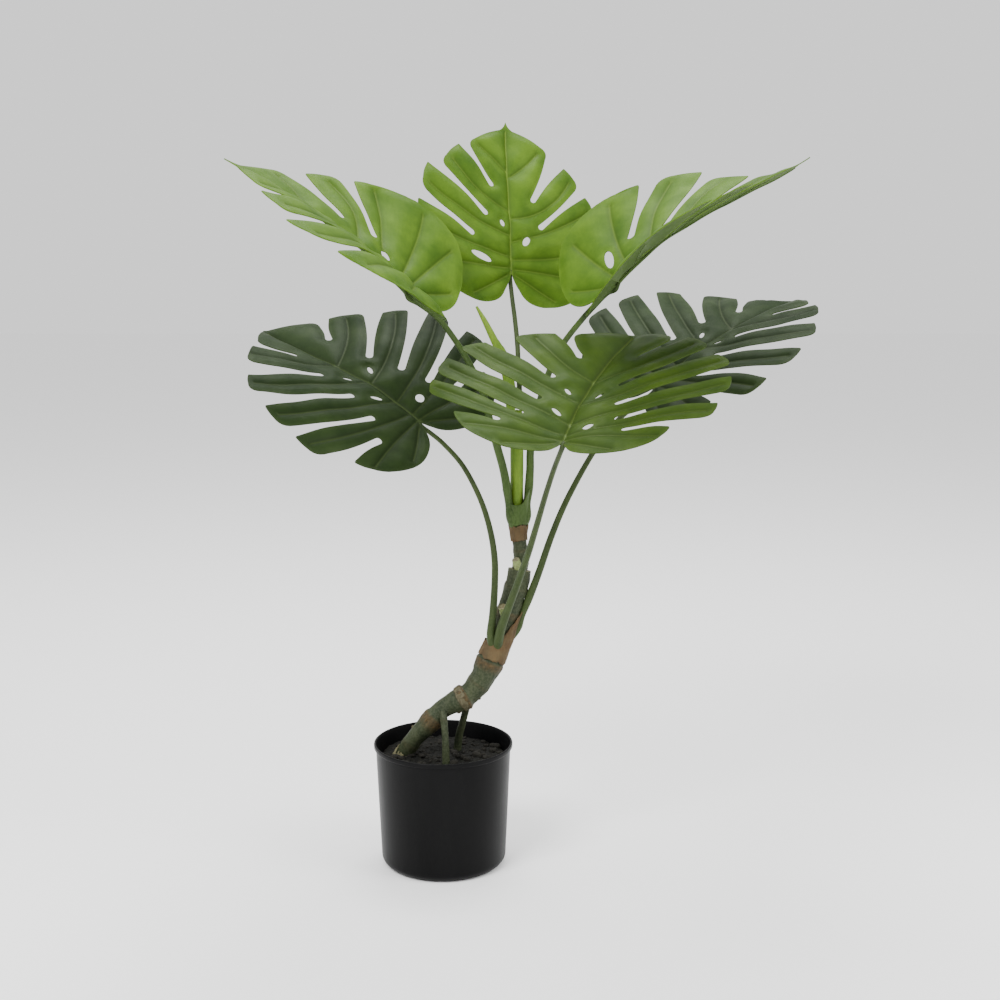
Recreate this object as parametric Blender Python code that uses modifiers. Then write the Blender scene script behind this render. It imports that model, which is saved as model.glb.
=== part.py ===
"""A potted monstera: six split leaves on one bent stem, in a plain black grower's pot.

Metres, +Z up. The origin is the middle of the pot's underside, and -Y is the front.
Every leaf blade is cut from one of two patterns and bent in the same way: along its midrib,
and across it on either side. Lengths in a pattern are shares of the blade's own length.
"""
import math
from collections import namedtuple

import bmesh
import bpy
from mathutils import Matrix, Vector
from mathutils.geometry import delaunay_2d_cdt

# --- Driving sizes -------------------------------------------------------------------------
POT_HEIGHT = 0.133
POT_RIM_RADIUS = 0.0740
POT_TOP_RADIUS = 0.0719        # just under the rolled lip
POT_BASE_RADIUS = 0.0668
POT_WALL = 0.0020
POT_FLOOR = 0.0030
HEEL_RADIUS = 0.010            # rounding between the side and the underside
LIP_HEIGHT = 0.0050
LIP_ROUND = 0.0012             # rounding of the lip's edges
SOIL_DEPTH_BELOW_RIM = 0.018
SOIL_FOOT_HEIGHT = 0.012       # below this the soil narrows with the pot's heel
SOIL_FOOT_INSET = 0.007
SOIL_RINGS = 9                 # rings of points over the soil's top
LUMP_HEIGHT = 0.0030           # how far the soil's clods rise and sink

GAP = 0.0004                   # clearance that touching pieces keep
SOIL_GAP = 0.0007              # clearance between the soil and the pot
BLADE_THICKNESS = 0.0014
SHEATH_THICKNESS = 0.0012

TURNED_STEPS = 48              # facets round the pot
STEM_RESOLUTION = 2            # a stem's section has 8 sides, and a trunk's 12
TRUNK_RESOLUTION = 4
ROUTE_STEPS = 3                # points per span on a smooth route
BLADE_SPACING = 0.11           # spacing of a blade's inner points, as a share of its length
CORNER_STEPS = 2               # facets on each rounded corner and slit end
HOLE_STEPS = 6                 # facets round each small hole
BEND_STEPS = 16                # steps in adding up the midrib's bend

# Waves of clods over the soil: share of the height, and how quickly each turns along X and Y.
CLOD_WAVES = ((0.40, 410, 95), (0.35, -130, 385), (0.25, 720, 640))

# --- Colours: base colour, roughness ---------------------------------------------------------
COLOURS = {
    "pot": ((0.012, 0.012, 0.013), 0.38),
    "soil": ((0.012, 0.013, 0.010), 0.95),
    "bark": ((0.125, 0.165, 0.090), 0.70),
    "husk": ((0.270, 0.115, 0.040), 0.80),
    "stem": ((0.085, 0.130, 0.055), 0.50),
    "young": ((0.270, 0.420, 0.080), 0.45),
    "light_leaf": ((0.120, 0.250, 0.035), 0.42),
    "mid_leaf": ((0.095, 0.185, 0.040), 0.45),
    "dark_leaf": ((0.045, 0.085, 0.030), 0.40),
}

# --- Blade patterns --------------------------------------------------------------------------
# One half of a blade, from beside the tip down to the notch where the stalk joins.
# A corner is (across, along, rounding); a slit is the rounded inner end of a cut.
CORNER, SLIT = "corner", "slit"
SLIT_RADIUS = 0.018

BROAD_RIGHT = (
    (CORNER, 0.27, 0.86, 0.07), (SLIT, 0.15, 0.69), (CORNER, 0.33, 0.84, 0.01),
    (CORNER, 0.49, 0.73, 0.07), (SLIT, 0.15, 0.44), (CORNER, 0.54, 0.65, 0.01),
    (CORNER, 0.65, 0.56, 0.07), (SLIT, 0.18, 0.27), (CORNER, 0.66, 0.45, 0.01),
    (CORNER, 0.68, 0.33, 0.07), (SLIT, 0.21, 0.13), (CORNER, 0.65, 0.22, 0.01),
    (CORNER, 0.64, 0.09, 0.07), (SLIT, 0.26, 0.02), (CORNER, 0.48, 0.00, 0.02),
    (CORNER, 0.42, -0.15, 0.13), (CORNER, 0.22, -0.20, 0.12), (CORNER, 0.05, -0.12, 0.08),
)
BROAD_LEFT = (
    (CORNER, 0.25, 0.85, 0.07), (SLIT, 0.12, 0.68), (CORNER, 0.31, 0.82, 0.01),
    (CORNER, 0.48, 0.72, 0.07), (SLIT, 0.17, 0.48), (CORNER, 0.56, 0.63, 0.01),
    (CORNER, 0.66, 0.54, 0.07), (SLIT, 0.17, 0.29), (CORNER, 0.66, 0.44, 0.01),
    (CORNER, 0.68, 0.32, 0.07), (SLIT, 0.21, 0.13), (CORNER, 0.66, 0.25, 0.01),
    (CORNER, 0.65, 0.12, 0.07), (SLIT, 0.29, 0.02), (CORNER, 0.50, 0.01, 0.02),
    (CORNER, 0.41, -0.14, 0.13), (CORNER, 0.22, -0.20, 0.12), (CORNER, 0.05, -0.12, 0.08),
)
SMALL_RIGHT = (
    (CORNER, 0.28, 0.84, 0.06), (SLIT, 0.15, 0.46), (CORNER, 0.38, 0.73, 0.01),
    (CORNER, 0.48, 0.60, 0.07), (SLIT, 0.19, 0.29), (CORNER, 0.51, 0.53, 0.01),
    (CORNER, 0.59, 0.39, 0.10), (CORNER, 0.63, 0.17, 0.12), (CORNER, 0.55, -0.03, 0.12),
    (CORNER, 0.40, -0.16, 0.10), (CORNER, 0.22, -0.21, 0.08), (CORNER, 0.08, -0.17, 0.07),
)
SMALL_LEFT = (
    (CORNER, 0.27, 0.84, 0.06), (SLIT, 0.11, 0.54), (CORNER, 0.33, 0.81, 0.01),
    (CORNER, 0.46, 0.66, 0.07), (SLIT, 0.16, 0.34), (CORNER, 0.54, 0.64, 0.01),
    (CORNER, 0.60, 0.46, 0.07), (SLIT, 0.26, 0.20), (CORNER, 0.62, 0.38, 0.02),
    (CORNER, 0.64, 0.18, 0.12), (CORNER, 0.56, -0.03, 0.12),
    (CORNER, 0.40, -0.16, 0.10), (CORNER, 0.22, -0.21, 0.08), (CORNER, 0.08, -0.17, 0.07),
)
# Small holes beside the midrib: (across, along, half width, half length, turn in degrees).
BROAD_HOLES = (
    (0.08, 0.38, 0.012, 0.028, -35), (0.10, 0.09, 0.022, 0.026, -60),
    (-0.08, 0.40, 0.012, 0.026, 40), (-0.08, 0.22, 0.014, 0.032, 50),
)
SMALL_HOLES = (
    (0.10, 0.20, 0.020, 0.034, -35), (-0.06, 0.30, 0.016, 0.022, 25), (-0.22, 0.07, 0.022, 0.075, 75),
)
TIP_SHOULDER = (0.042, 0.978)  # where the drawn-out tip begins, either side of the midrib
BROAD_TIP, SMALL_TIP = 1.0, 1.05   # how far each drawn-out tip reaches

Pattern = namedtuple("Pattern", "right left holes tip")
BROAD = Pattern(BROAD_RIGHT, BROAD_LEFT, BROAD_HOLES, BROAD_TIP)
SMALL = Pattern(SMALL_RIGHT, SMALL_LEFT, SMALL_HOLES, SMALL_TIP)

# --- Leaves ----------------------------------------------------------------------------------
# notch: where the stalk meets the blade. heading, pitch, roll: which way the midrib leaves the
# notch and how the blade is turned about it. arch and curl bend the midrib down, curl near the
# tip. lift, turn and droop are for the right and left half: the half's rise from the midrib, the
# change of that rise towards the tip, and the bend outwards. sweep moves the tip to the right.
Leaf = namedtuple("Leaf", "name pattern colour length notch heading pitch roll"
                          " arch curl lift turn droop sweep")
LEAVES = (
    Leaf("top", SMALL, "light_leaf", 0.182, (0.073, 0.105, 0.625), 95, 73, 21,
         29, -9, (5, 14), (1, -8), (7, 17), 0.09),
    Leaf("upper_left", SMALL, "light_leaf", 0.209, (-0.029, -0.040, 0.610), 184, 47, -2,
         23, -5, (24, 18), (-19, -18), (-42, 48), -0.08),
    Leaf("upper_right", SMALL, "light_leaf", 0.214, (0.174, -0.040, 0.619), 2, 49, -9,
         47, -29, (-3, 24), (0, -21), (-12, -52), 0.04),
    Leaf("left", BROAD, "dark_leaf", 0.214, (-0.021, -0.016, 0.479), 158, 38, -18,
         46, -31, (18, 2), (-13, 24), (8, 19), 0.02),
    Leaf("front", BROAD, "mid_leaf", 0.215, (0.119, -0.160, 0.478), 77, 20, 1,
         -15, 16, (19, 19), (0, 0), (29, 17), 0.18),
    Leaf("right", BROAD, "dark_leaf", 0.220, (0.226, 0.070, 0.505), 26, 39, 1,
         34, -5, (4, 25), (9, -23), (26, -5), -0.08),
)

# --- Stems: every route is a list of (x, y, z, radius) -----------------------------------------
TRUNK_ROUTE = (
    (-0.052, 0.013, 0.098, 0.0088), (-0.043, 0.008, 0.116, 0.0091), (-0.030, 0.003, 0.136, 0.0098),
    (-0.014, 0.000, 0.154, 0.0112), (0.000, 0.000, 0.169, 0.0106), (0.019, 0.000, 0.180, 0.0126),
    (0.030, 0.002, 0.187, 0.0122), (0.041, 0.004, 0.201, 0.0134), (0.049, 0.005, 0.218, 0.0144),
    (0.056, 0.006, 0.234, 0.0136), (0.062, 0.008, 0.248, 0.0130), (0.067, 0.010, 0.266, 0.0130),
    (0.074, 0.012, 0.287, 0.0128), (0.079, 0.0140, 0.303, 0.0130), (0.0815, 0.0155, 0.3175, 0.0126),
)
UPPER_STEM_ROUTE = (
    (0.0817, 0.0156, 0.3185, 0.0088), (0.0828, 0.0165, 0.3285, 0.0082), (0.082, 0.017, 0.340, 0.0079),
    (0.0805, 0.018, 0.353, 0.0079), (0.080, 0.0185, 0.366, 0.0092), (0.079, 0.019, 0.380, 0.0086),
)
CROWN_ROUTE = (
    (0.0788, 0.0192, 0.3808, 0.0072), (0.078, 0.020, 0.398, 0.0069), (0.078, 0.022, 0.423, 0.0068),
    (0.078, 0.024, 0.448, 0.0066), (0.079, 0.028, 0.468, 0.0056), (0.080, 0.034, 0.484, 0.0040),
)
# A stalk's last point is worked out from its blade: this far back from the notch, and this far
# under the blade.
STALK_BACK = 0.0040
STALK_UNDER = 0.0038
STALK_END_RADIUS = 0.0023
STALK_ROUTES = {
    "top": (
        (0.0802, 0.0350, 0.4864, 0.0034), (0.081, 0.042, 0.506, 0.0028), (0.080, 0.052, 0.530, 0.0026),
        (0.079, 0.064, 0.552, 0.0026), (0.0765, 0.083, 0.577, 0.0025), (0.0735, 0.100, 0.600, 0.0024),
    ),
    "upper_left": (
        (0.0700, 0.0130, 0.388, 0.0040), (0.0680, 0.0110, 0.404, 0.0045), (0.064, 0.010, 0.426, 0.0042),
        (0.057, 0.007, 0.452, 0.0041), (0.050, 0.003, 0.478, 0.0038), (0.043, 0.000, 0.507, 0.0035),
        (0.030, -0.005, 0.536, 0.0032), (0.015, -0.015, 0.562, 0.0030), (-0.001, -0.026, 0.584, 0.0029),
        (-0.018, -0.036, 0.598, 0.0026),
    ),
    "upper_right": (
        (0.0890, 0.0220, 0.388, 0.0040), (0.0910, 0.0230, 0.404, 0.0046), (0.0922, 0.024, 0.424, 0.0042),
        (0.093, 0.026, 0.447, 0.0040), (0.100, 0.030, 0.485, 0.0036), (0.111, 0.034, 0.522, 0.0034),
        (0.125, 0.033, 0.552, 0.0031), (0.143, 0.018, 0.578, 0.0030), (0.158, -0.008, 0.598, 0.0029),
        (0.167, -0.028, 0.609, 0.0026),
    ),
    "left": (
        (0.0535, -0.001, 0.238, 0.0050), (0.0510, -0.005, 0.252, 0.0046), (0.053, -0.009, 0.274, 0.0040),
        (0.055, -0.012, 0.305, 0.0036), (0.055, -0.014, 0.336, 0.0034), (0.050, -0.016, 0.368, 0.0031),
        (0.040, -0.018, 0.400, 0.0028), (0.023, -0.018, 0.433, 0.0026), (0.004, -0.017, 0.455, 0.0024),
        (-0.0100, -0.0165, 0.4670, 0.0023),
    ),
    "front": (
        (0.0585, -0.006, 0.243, 0.0050), (0.0620, -0.014, 0.262, 0.0048), (0.069, -0.022, 0.284, 0.0042),
        (0.078, -0.034, 0.312, 0.0038), (0.089, -0.056, 0.350, 0.0035), (0.098, -0.082, 0.388, 0.0031),
        (0.105, -0.108, 0.420, 0.0028), (0.112, -0.134, 0.449, 0.0026),
    ),
    "right": (
        (0.0840, 0.0090, 0.270, 0.0038), (0.0920, 0.0085, 0.290, 0.0042), (0.102, 0.0095, 0.317, 0.0038),
        (0.116, 0.018, 0.356, 0.0035), (0.133, 0.030, 0.393, 0.0032), (0.160, 0.048, 0.438, 0.0029),
        (0.186, 0.060, 0.470, 0.0027), (0.209, 0.0660, 0.4880, 0.0025),
    ),
}
NEW_LEAF_ROUTE = (
    (0.0700, 0.0190, 0.470, 0.0030), (0.0715, 0.0190, 0.490, 0.0050), (0.070, 0.019, 0.513, 0.0058),
    (0.064, 0.018, 0.541, 0.0052), (0.055, 0.017, 0.559, 0.0040), (0.045, 0.015, 0.579, 0.0028),
    (0.0365, 0.014, 0.594, 0.0012),
)
ROOT_ROUTES = {
    "front": (
        (0.0000, -0.006, 0.170, 0.0042), (0.0015, -0.013, 0.158, 0.0040), (0.003, -0.018, 0.141, 0.0038),
        (0.0035, -0.021, 0.124, 0.0042), (0.004, -0.022, 0.102, 0.0046),
    ),
    "back": (
        (0.0250, 0.004, 0.178, 0.0045), (0.0235, 0.012, 0.163, 0.0042), (0.020, 0.018, 0.147, 0.0040),
        (0.016, 0.022, 0.130, 0.0044), (0.013, 0.024, 0.102, 0.0048),
    ),
}
STUB_ROUTES = {
    "lower": ((0.0670, 0.0020, 0.2680, 0.0044), (0.0645, -0.0035, 0.2755, 0.0045),
              (0.0630, -0.0080, 0.2830, 0.0043)),
    "upper": ((0.0800, 0.0080, 0.3205, 0.0042), (0.0785, 0.0050, 0.3255, 0.0043),
              (0.0770, 0.0030, 0.3310, 0.0040)),
}
# Dry husks wrapped round a stem: the stem's route, the stretch of it in points, and how far the
# shell flares at its upper end.
HUSKS = {
    "husk_ring": (TRUNK_ROUTE, 4.7, 5.5, 0.0003),
    "husk_lower": (TRUNK_ROUTE, 8.2, 9.8, 0.0006),
    "husk_upper": (UPPER_STEM_ROUTE, 3.0, 4.0, 0.0003),
    "leaf_cup": (UPPER_STEM_ROUTE, 4.2, 5.0, 0.0010),
}
HUSK_CLEARANCE = 0.0008        # between a stem and the inside of its husk


# --- Small helpers ---------------------------------------------------------------------------
def clear_scene():
    """Remove whatever the file held before."""
    for obj in list(bpy.data.objects):
        bpy.data.objects.remove(obj, do_unlink=True)


def make_collection(name):
    """A new collection under the scene's own."""
    collection = bpy.data.collections.new(name)
    bpy.context.scene.collection.children.link(collection)
    return collection


def make_materials():
    """One Principled material per colour."""
    materials = {}
    for name, (colour, roughness) in COLOURS.items():
        material = bpy.data.materials.new(name)
        material.use_nodes = True
        shader = material.node_tree.nodes["Principled BSDF"]
        shader.inputs["Base Color"].default_value = (*colour, 1.0)
        shader.inputs["Roughness"].default_value = roughness
        shader.inputs["Metallic"].default_value = 0.0
        materials[name] = material
    return materials


def add_object(name, data, collection, parent=None):
    """Put mesh or curve data into the scene under a name."""
    obj = bpy.data.objects.new(name, data)
    collection.objects.link(obj)
    obj.parent = parent
    return obj


def smooth_route(points, steps):
    """Points on a smooth curve through the route's own points; the radius runs along with them."""
    knots = [Vector(point) for point in points]
    first = 2 * knots[0] - knots[1]
    last = 2 * knots[-1] - knots[-2]
    padded = [first] + knots + [last]
    route = []
    for before, start, end, after in zip(padded, padded[1:], padded[2:], padded[3:]):
        for step in range(steps):
            t = step / steps
            route.append(0.5 * (2 * start + (end - before) * t
                                + (2 * before - 5 * start + 4 * end - after) * t ** 2
                                + (3 * start - before - 3 * end + after) * t ** 3))
    route.append(knots[-1])
    return route


def tube_curve(name, route, resolution, collection, caps=True, grow=0.0):
    """A round tube of changing radius along a route of (x, y, z, radius)."""
    curve = bpy.data.curves.new(name, "CURVE")
    curve.dimensions = "3D"
    curve.bevel_depth = 1.0
    curve.bevel_resolution = resolution
    curve.render_resolution_u = 0
    curve.use_fill_caps = caps
    spline = curve.splines.new("POLY")
    spline.points.add(len(route) - 1)
    for target, point in zip(spline.points, route):
        target.co = (*point[:3], 1.0)
        target.radius = point[3] + grow
    return add_object(name, curve, collection)


def as_mesh(obj, parent=None):
    """Turn a curve object into a mesh object of the same name, with its caps welded on."""
    depsgraph = bpy.context.evaluated_depsgraph_get()
    mesh = bpy.data.meshes.new_from_object(obj.evaluated_get(depsgraph))
    name, collection = obj.name, obj.users_collection[0]
    place = obj.matrix_world.copy()
    bpy.data.objects.remove(obj, do_unlink=True)
    mesh.name = name
    work = bmesh.new()
    work.from_mesh(mesh)
    bmesh.ops.remove_doubles(work, verts=work.verts, dist=1e-6)
    bmesh.ops.recalc_face_normals(work, faces=work.faces)
    work.to_mesh(mesh)
    work.free()
    result = add_object(name, mesh, collection, parent)
    result.matrix_world = place
    return result


def cut(obj, cutter):
    """Take the cutter's shape out of an object."""
    modifier = obj.modifiers.new("cut_" + cutter.name, "BOOLEAN")
    modifier.operation = "DIFFERENCE"
    modifier.object = cutter


def as_guide(obj):
    """Keep an object as a cutter only."""
    obj.hide_render = True
    obj.display_type = "WIRE"
    return obj


def smooth(obj, angle=40):
    """Shade a mesh smooth and keep its real edges sharp."""
    obj.data.shade_smooth()
    obj.data.set_sharp_from_angle(angle=math.radians(angle))


# --- Pot and soil ----------------------------------------------------------------------------
def turned(name, profile, collection, parent):
    """Turn a profile of (radius, height), which runs down the outer side first, about +Z."""
    mesh = bpy.data.meshes.new(name)
    edges = [(i, i + 1) for i in range(len(profile) - 1)]
    mesh.from_pydata([(radius, 0.0, height) for radius, height in profile], edges, [])
    obj = add_object(name, mesh, collection, parent)
    screw = obj.modifiers.new("turn", "SCREW")
    screw.steps = TURNED_STEPS
    screw.render_steps = TURNED_STEPS
    screw.use_merge_vertices = True
    screw.merge_threshold = 1e-5
    return obj


def arc(centre, radius, start, end, steps):
    """Points on an arc in the (radius, height) plane, angles in degrees."""
    points = []
    for step in range(steps + 1):
        angle = math.radians(start + (end - start) * step / steps)
        points.append((centre[0] + radius * math.cos(angle), centre[1] + radius * math.sin(angle)))
    return points


def pot_inner_radius(height):
    """Radius of the pot's inside at a height."""
    share = height / (POT_HEIGHT - LIP_HEIGHT)
    return POT_BASE_RADIUS + (POT_TOP_RADIUS - POT_BASE_RADIUS) * min(share, 1.0) - POT_WALL


def make_pot(collection, parent, material):
    """A thin turned pot: flat underside, rounded heel, slightly flared side, rolled lip."""
    lip_low = POT_HEIGHT - LIP_HEIGHT
    lip_centre = (POT_RIM_RADIUS - LIP_ROUND, POT_HEIGHT - LIP_ROUND)
    outside = arc(lip_centre, LIP_ROUND, 90, 0, 3)
    outside += [(POT_RIM_RADIUS, lip_low + LIP_ROUND), (POT_TOP_RADIUS, lip_low)]
    outside += arc((POT_BASE_RADIUS - HEEL_RADIUS, HEEL_RADIUS), HEEL_RADIUS, 0, -90, 6)
    outside += [(0.0, 0.0)]
    inner_heel = HEEL_RADIUS - POT_WALL
    heel_centre = (pot_inner_radius(HEEL_RADIUS) - inner_heel, POT_FLOOR + inner_heel)
    inside_top = POT_RIM_RADIUS - POT_WALL
    within = [(0.0, POT_FLOOR)] + arc(heel_centre, inner_heel, -90, 0, 3)
    within += [(pot_inner_radius(lip_low), lip_low), (inside_top, POT_HEIGHT - LIP_ROUND)]
    within += [(inside_top + LIP_ROUND / 2, POT_HEIGHT)]
    pot = turned("pot", outside + within, collection, parent)
    pot.data.materials.append(material)
    close_profile(pot.data)
    smooth(pot)
    return pot


def close_profile(mesh):
    """Join a profile's last point to its first, and drop the edge that lies on the axis."""
    work = bmesh.new()
    work.from_mesh(mesh)
    work.verts.ensure_lookup_table()
    work.edges.new((work.verts[len(work.verts) - 1], work.verts[0]))
    on_axis = [edge for edge in work.edges if all(vert.co.x < 1e-7 for vert in edge.verts)]
    bmesh.ops.delete(work, geom=on_axis, context="EDGES")
    work.to_mesh(mesh)
    work.free()


def lump(x, y):
    """Height of the soil's clods at a place, between -1 and 1."""
    return sum(share * math.sin(along_x * x + along_y * y) for share, along_x, along_y in CLOD_WAVES)


def soil_top():
    """Scattered points over the soil's lumpy top: the outer ring first, level, then ring by ring."""
    top = POT_HEIGHT - SOIL_DEPTH_BELOW_RIM
    rim = pot_inner_radius(top) - SOIL_GAP
    points = []
    for ring in range(SOIL_RINGS):
        radius = rim * (1 - ring / SOIL_RINGS)
        count = max(8, TURNED_STEPS * (SOIL_RINGS - ring) // SOIL_RINGS)
        for step in range(count):
            angle = 2 * math.pi * step / count
            x, y = radius * math.cos(angle), radius * math.sin(angle)
            rise = LUMP_HEIGHT * lump(x, y) if ring > 0 else 0.0
            points.append(Vector((x, y, top + rise)))
    return points


def make_soil(collection, parent, material):
    """The potting mix: a solid plug with a lumpy top, set into the pot."""
    points = soil_top()
    rim_edges = [(i, (i + 1) % TURNED_STEPS) for i in range(TURNED_STEPS)]
    flat, _, faces, _, _, _ = delaunay_2d_cdt([point.xy for point in points], rim_edges, [], 1, 1e-6)
    mesh = bpy.data.meshes.new("soil")
    mesh.from_pydata([(place.x, place.y, point.z) for place, point in zip(flat, points)], [], faces)
    work = bmesh.new()
    work.from_mesh(mesh)
    levels = ((pot_inner_radius(SOIL_FOOT_HEIGHT) - SOIL_GAP, SOIL_FOOT_HEIGHT),
              (pot_inner_radius(0.0) - SOIL_FOOT_INSET, POT_FLOOR + SOIL_GAP))
    for radius, height in levels:
        border = [edge for edge in work.edges if edge.is_boundary]
        for item in bmesh.ops.extrude_edge_only(work, edges=border)["geom"]:
            if isinstance(item, bmesh.types.BMVert):
                outward = item.co.xy.normalized() * radius
                item.co = (outward.x, outward.y, height)
    bmesh.ops.holes_fill(work, edges=[edge for edge in work.edges if edge.is_boundary])
    bmesh.ops.recalc_face_normals(work, faces=work.faces)
    work.to_mesh(mesh)
    work.free()
    soil = add_object("soil", mesh, collection, parent)
    mesh.materials.append(material)
    return soil


# --- Blades ----------------------------------------------------------------------------------
def slit_end(before, end, after, radius, steps):
    """The rounded inner end of a cut whose mouth lies between two corners."""
    mouth = (before + after) / 2
    axis = (mouth - end).normalized()
    side = Vector((-axis.y, axis.x))
    if side.dot(before - mouth) < 0:
        side = -side
    centre = end + axis * radius
    points = []
    for step in range(steps + 1):
        angle = math.pi * step / steps
        points.append(centre + radius * (side * math.cos(angle) - axis * math.sin(angle)))
    return points


def round_corner(before, corner, after, radius, steps):
    """Replace a corner by a short curve that touches both of its edges."""
    back, ahead = before - corner, after - corner
    start = corner + back.normalized() * min(radius, 0.48 * back.length)
    end = corner + ahead.normalized() * min(radius, 0.48 * ahead.length)
    points = []
    for step in range(steps + 1):
        t = step / steps
        points.append(start * (1 - t) ** 2 + corner * 2 * t * (1 - t) + end * t ** 2)
    return points


def half_outline(half, side, steps):
    """One half of the outline from the tip's shoulder to the notch, as 2D points."""
    shoulder = Vector((side * TIP_SHOULDER[0], TIP_SHOULDER[1]))
    notch = Vector((0.0, 0.0))
    places = [shoulder] + [Vector((side * item[1], item[2])) for item in half] + [notch]
    marked = [(None, [shoulder])]
    for index, item in enumerate(half, start=1):
        if item[0] == SLIT:
            bend = slit_end(places[index - 1], places[index], places[index + 1], SLIT_RADIUS, steps)
            marked.append((None, bend))
        else:
            marked.append((item[3], [places[index]]))
    marked.append((None, [notch]))
    outline = [shoulder]
    for before, here, after in zip(marked, marked[1:], marked[2:]):
        if here[0] is None:
            outline += here[1]
        else:
            outline += round_corner(before[1][-1], here[1][0], after[1][0], here[0], steps)
    return outline


def blade_outline(pattern, steps):
    """The closed outline of a flat blade: tip, right half, notch, left half."""
    tip, notch = Vector((0.0, pattern.tip)), Vector((0.0, 0.0))
    right = half_outline(pattern.right, 1, steps)
    left = half_outline(pattern.left, -1, steps)
    return [tip] + right + [notch] + left[::-1]


def hole_outline(hole, count):
    """A small oval hole."""
    across, along, half_width, half_length, turn = hole
    spin = Matrix.Rotation(math.radians(turn), 2)
    points = []
    for step in range(count):
        angle = 2 * math.pi * step / count
        points.append(Vector((across, along))
                      + spin @ Vector((half_width * math.cos(angle), half_length * math.sin(angle))))
    return points


def inside(point, loop):
    """True when a 2D point lies inside a closed loop."""
    result = False
    for a, b in zip(loop, loop[1:] + loop[:1]):
        if (a.y > point.y) != (b.y > point.y):
            if point.x < a.x + (point.y - a.y) * (b.x - a.x) / (b.y - a.y):
                result = not result
    return result


def fill_points(loops):
    """A triangular grid of points inside the first loop, clear of every loop's edge."""
    outline, holes = loops[0], loops[1:]
    row_height = BLADE_SPACING * math.sqrt(3) / 2
    low, high = min(point.y for point in outline), max(point.y for point in outline)
    reach = math.ceil(max(abs(point.x) for point in outline) / BLADE_SPACING)
    border = [point for loop in loops for point in loop]
    places = []
    for row in range(math.ceil((high - low) / row_height)):
        for column in range(-reach, reach + 1):
            place = Vector(((column + 0.5 * (row % 2)) * BLADE_SPACING, low + row * row_height))
            clear = min((place - other).length for other in border) > BLADE_SPACING / 2
            if clear and inside(place, outline) and not any(inside(place, hole) for hole in holes):
                places.append(place)
    return places


def flat_blade(pattern):
    """Triangles over a flat blade: its points and faces."""
    loops = [blade_outline(pattern, CORNER_STEPS)]
    loops += [hole_outline(hole, HOLE_STEPS) for hole in pattern.holes]
    points, edges = [], []
    for loop in loops:
        first = len(points)
        points += loop
        edges += [(first + i, first + (i + 1) % len(loop)) for i in range(len(loop))]
    points += fill_points(loops)
    flat, _, faces, _, _, _ = delaunay_2d_cdt(points, edges, [], 1, 1e-5)
    kept = []
    for face in faces:
        middle = sum((flat[i] for i in face), Vector((0.0, 0.0))) / len(face)
        if inside(middle, loops[0]) and not any(inside(middle, loop) for loop in loops[1:]):
            kept.append(face)
    return flat, kept


def blade_axes(leaf):
    """Along, right and upper directions of a blade at its notch."""
    heading, pitch, roll = (math.radians(value) for value in (leaf.heading, leaf.pitch, leaf.roll))
    along = Vector((math.cos(pitch) * math.cos(heading), math.cos(pitch) * math.sin(heading),
                    math.sin(pitch)))
    upper = (Vector((0, 0, 1)) - along * along.z).normalized()
    level = along.cross(upper)
    upper = upper * math.cos(roll) + level * math.sin(roll)
    return along, along.cross(upper), upper


def bend_blade(leaf, flat):
    """Carry flat points into space: down along the midrib, and across it on either side."""
    along, right, upper = blade_axes(leaf)
    arch, curl = math.radians(leaf.arch), math.radians(leaf.curl)
    notch = Vector(leaf.notch)
    bent = []
    for point in flat:
        ahead = max(point.y, 0.0)
        forward = drop = 0.0
        for step in range(BEND_STEPS):
            t = ahead * (step + 0.5) / BEND_STEPS
            angle = arch * t + curl * t ** 3
            forward += math.cos(angle) / BEND_STEPS
            drop += math.sin(angle) / BEND_STEPS
        angle = arch * ahead + curl * ahead ** 3
        upward = upper * math.cos(angle) + along * math.sin(angle)
        side = 0 if point.x > 0 else 1
        lift = math.radians(leaf.lift[side] + leaf.turn[side] * ahead)
        droop = math.radians(leaf.droop[side]) or 1e-6
        reach = abs(point.x)
        outward = (math.sin(lift) - math.sin(lift - droop * reach)) / droop
        rise = (math.cos(lift - droop * reach) - math.cos(lift)) / droop
        shift = leaf.sweep * ahead ** 2 + math.copysign(outward, point.x)
        bent.append(notch + leaf.length * (along * point.y * forward - upper * point.y * drop
                                           + right * shift + upward * rise))
    return bent


def make_blade(leaf, collection, parent, material):
    """One leaf blade as a thin curved solid."""
    flat, faces = flat_blade(leaf.pattern)
    mesh = bpy.data.meshes.new("blade_" + leaf.name)
    mesh.from_pydata(bend_blade(leaf, flat), [], faces)
    blade = add_object("blade_" + leaf.name, mesh, collection, parent)
    mesh.materials.append(material)
    solid = blade.modifiers.new("thickness", "SOLIDIFY")
    solid.thickness = BLADE_THICKNESS
    solid.offset = 0.0
    smooth(blade)
    return blade


# --- Trunk, stalks, husks ----------------------------------------------------------------------
def stretch(route, start, end):
    """The part of a route between two places counted in its own points."""
    fine = smooth_route(route, 10)
    first, last = round(start * 10), round(end * 10)
    count = max(3, round((end - start) * ROUTE_STEPS))
    return [fine[round(first + (last - first) * i / count)] for i in range(count + 1)]


def make_stem(name, points, resolution, material, cutters, collection, parent):
    """A trunk, stalk, root or stub along a route, cut back from what it grows out of."""
    route = smooth_route(points, ROUTE_STEPS)
    stem = as_mesh(tube_curve(name, route, resolution, collection), parent)
    stem.data.materials.append(material)
    for cutter in cutters:
        cut(stem, cutter)
    smooth(stem)
    return stem


def stalk_route(leaf):
    """A stalk's route with its last point set just under the blade's notch."""
    along, _, upper = blade_axes(leaf)
    end = Vector(leaf.notch) - along * STALK_BACK - upper * STALK_UNDER
    return STALK_ROUTES[leaf.name] + ((*end, STALK_END_RADIUS),)


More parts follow.
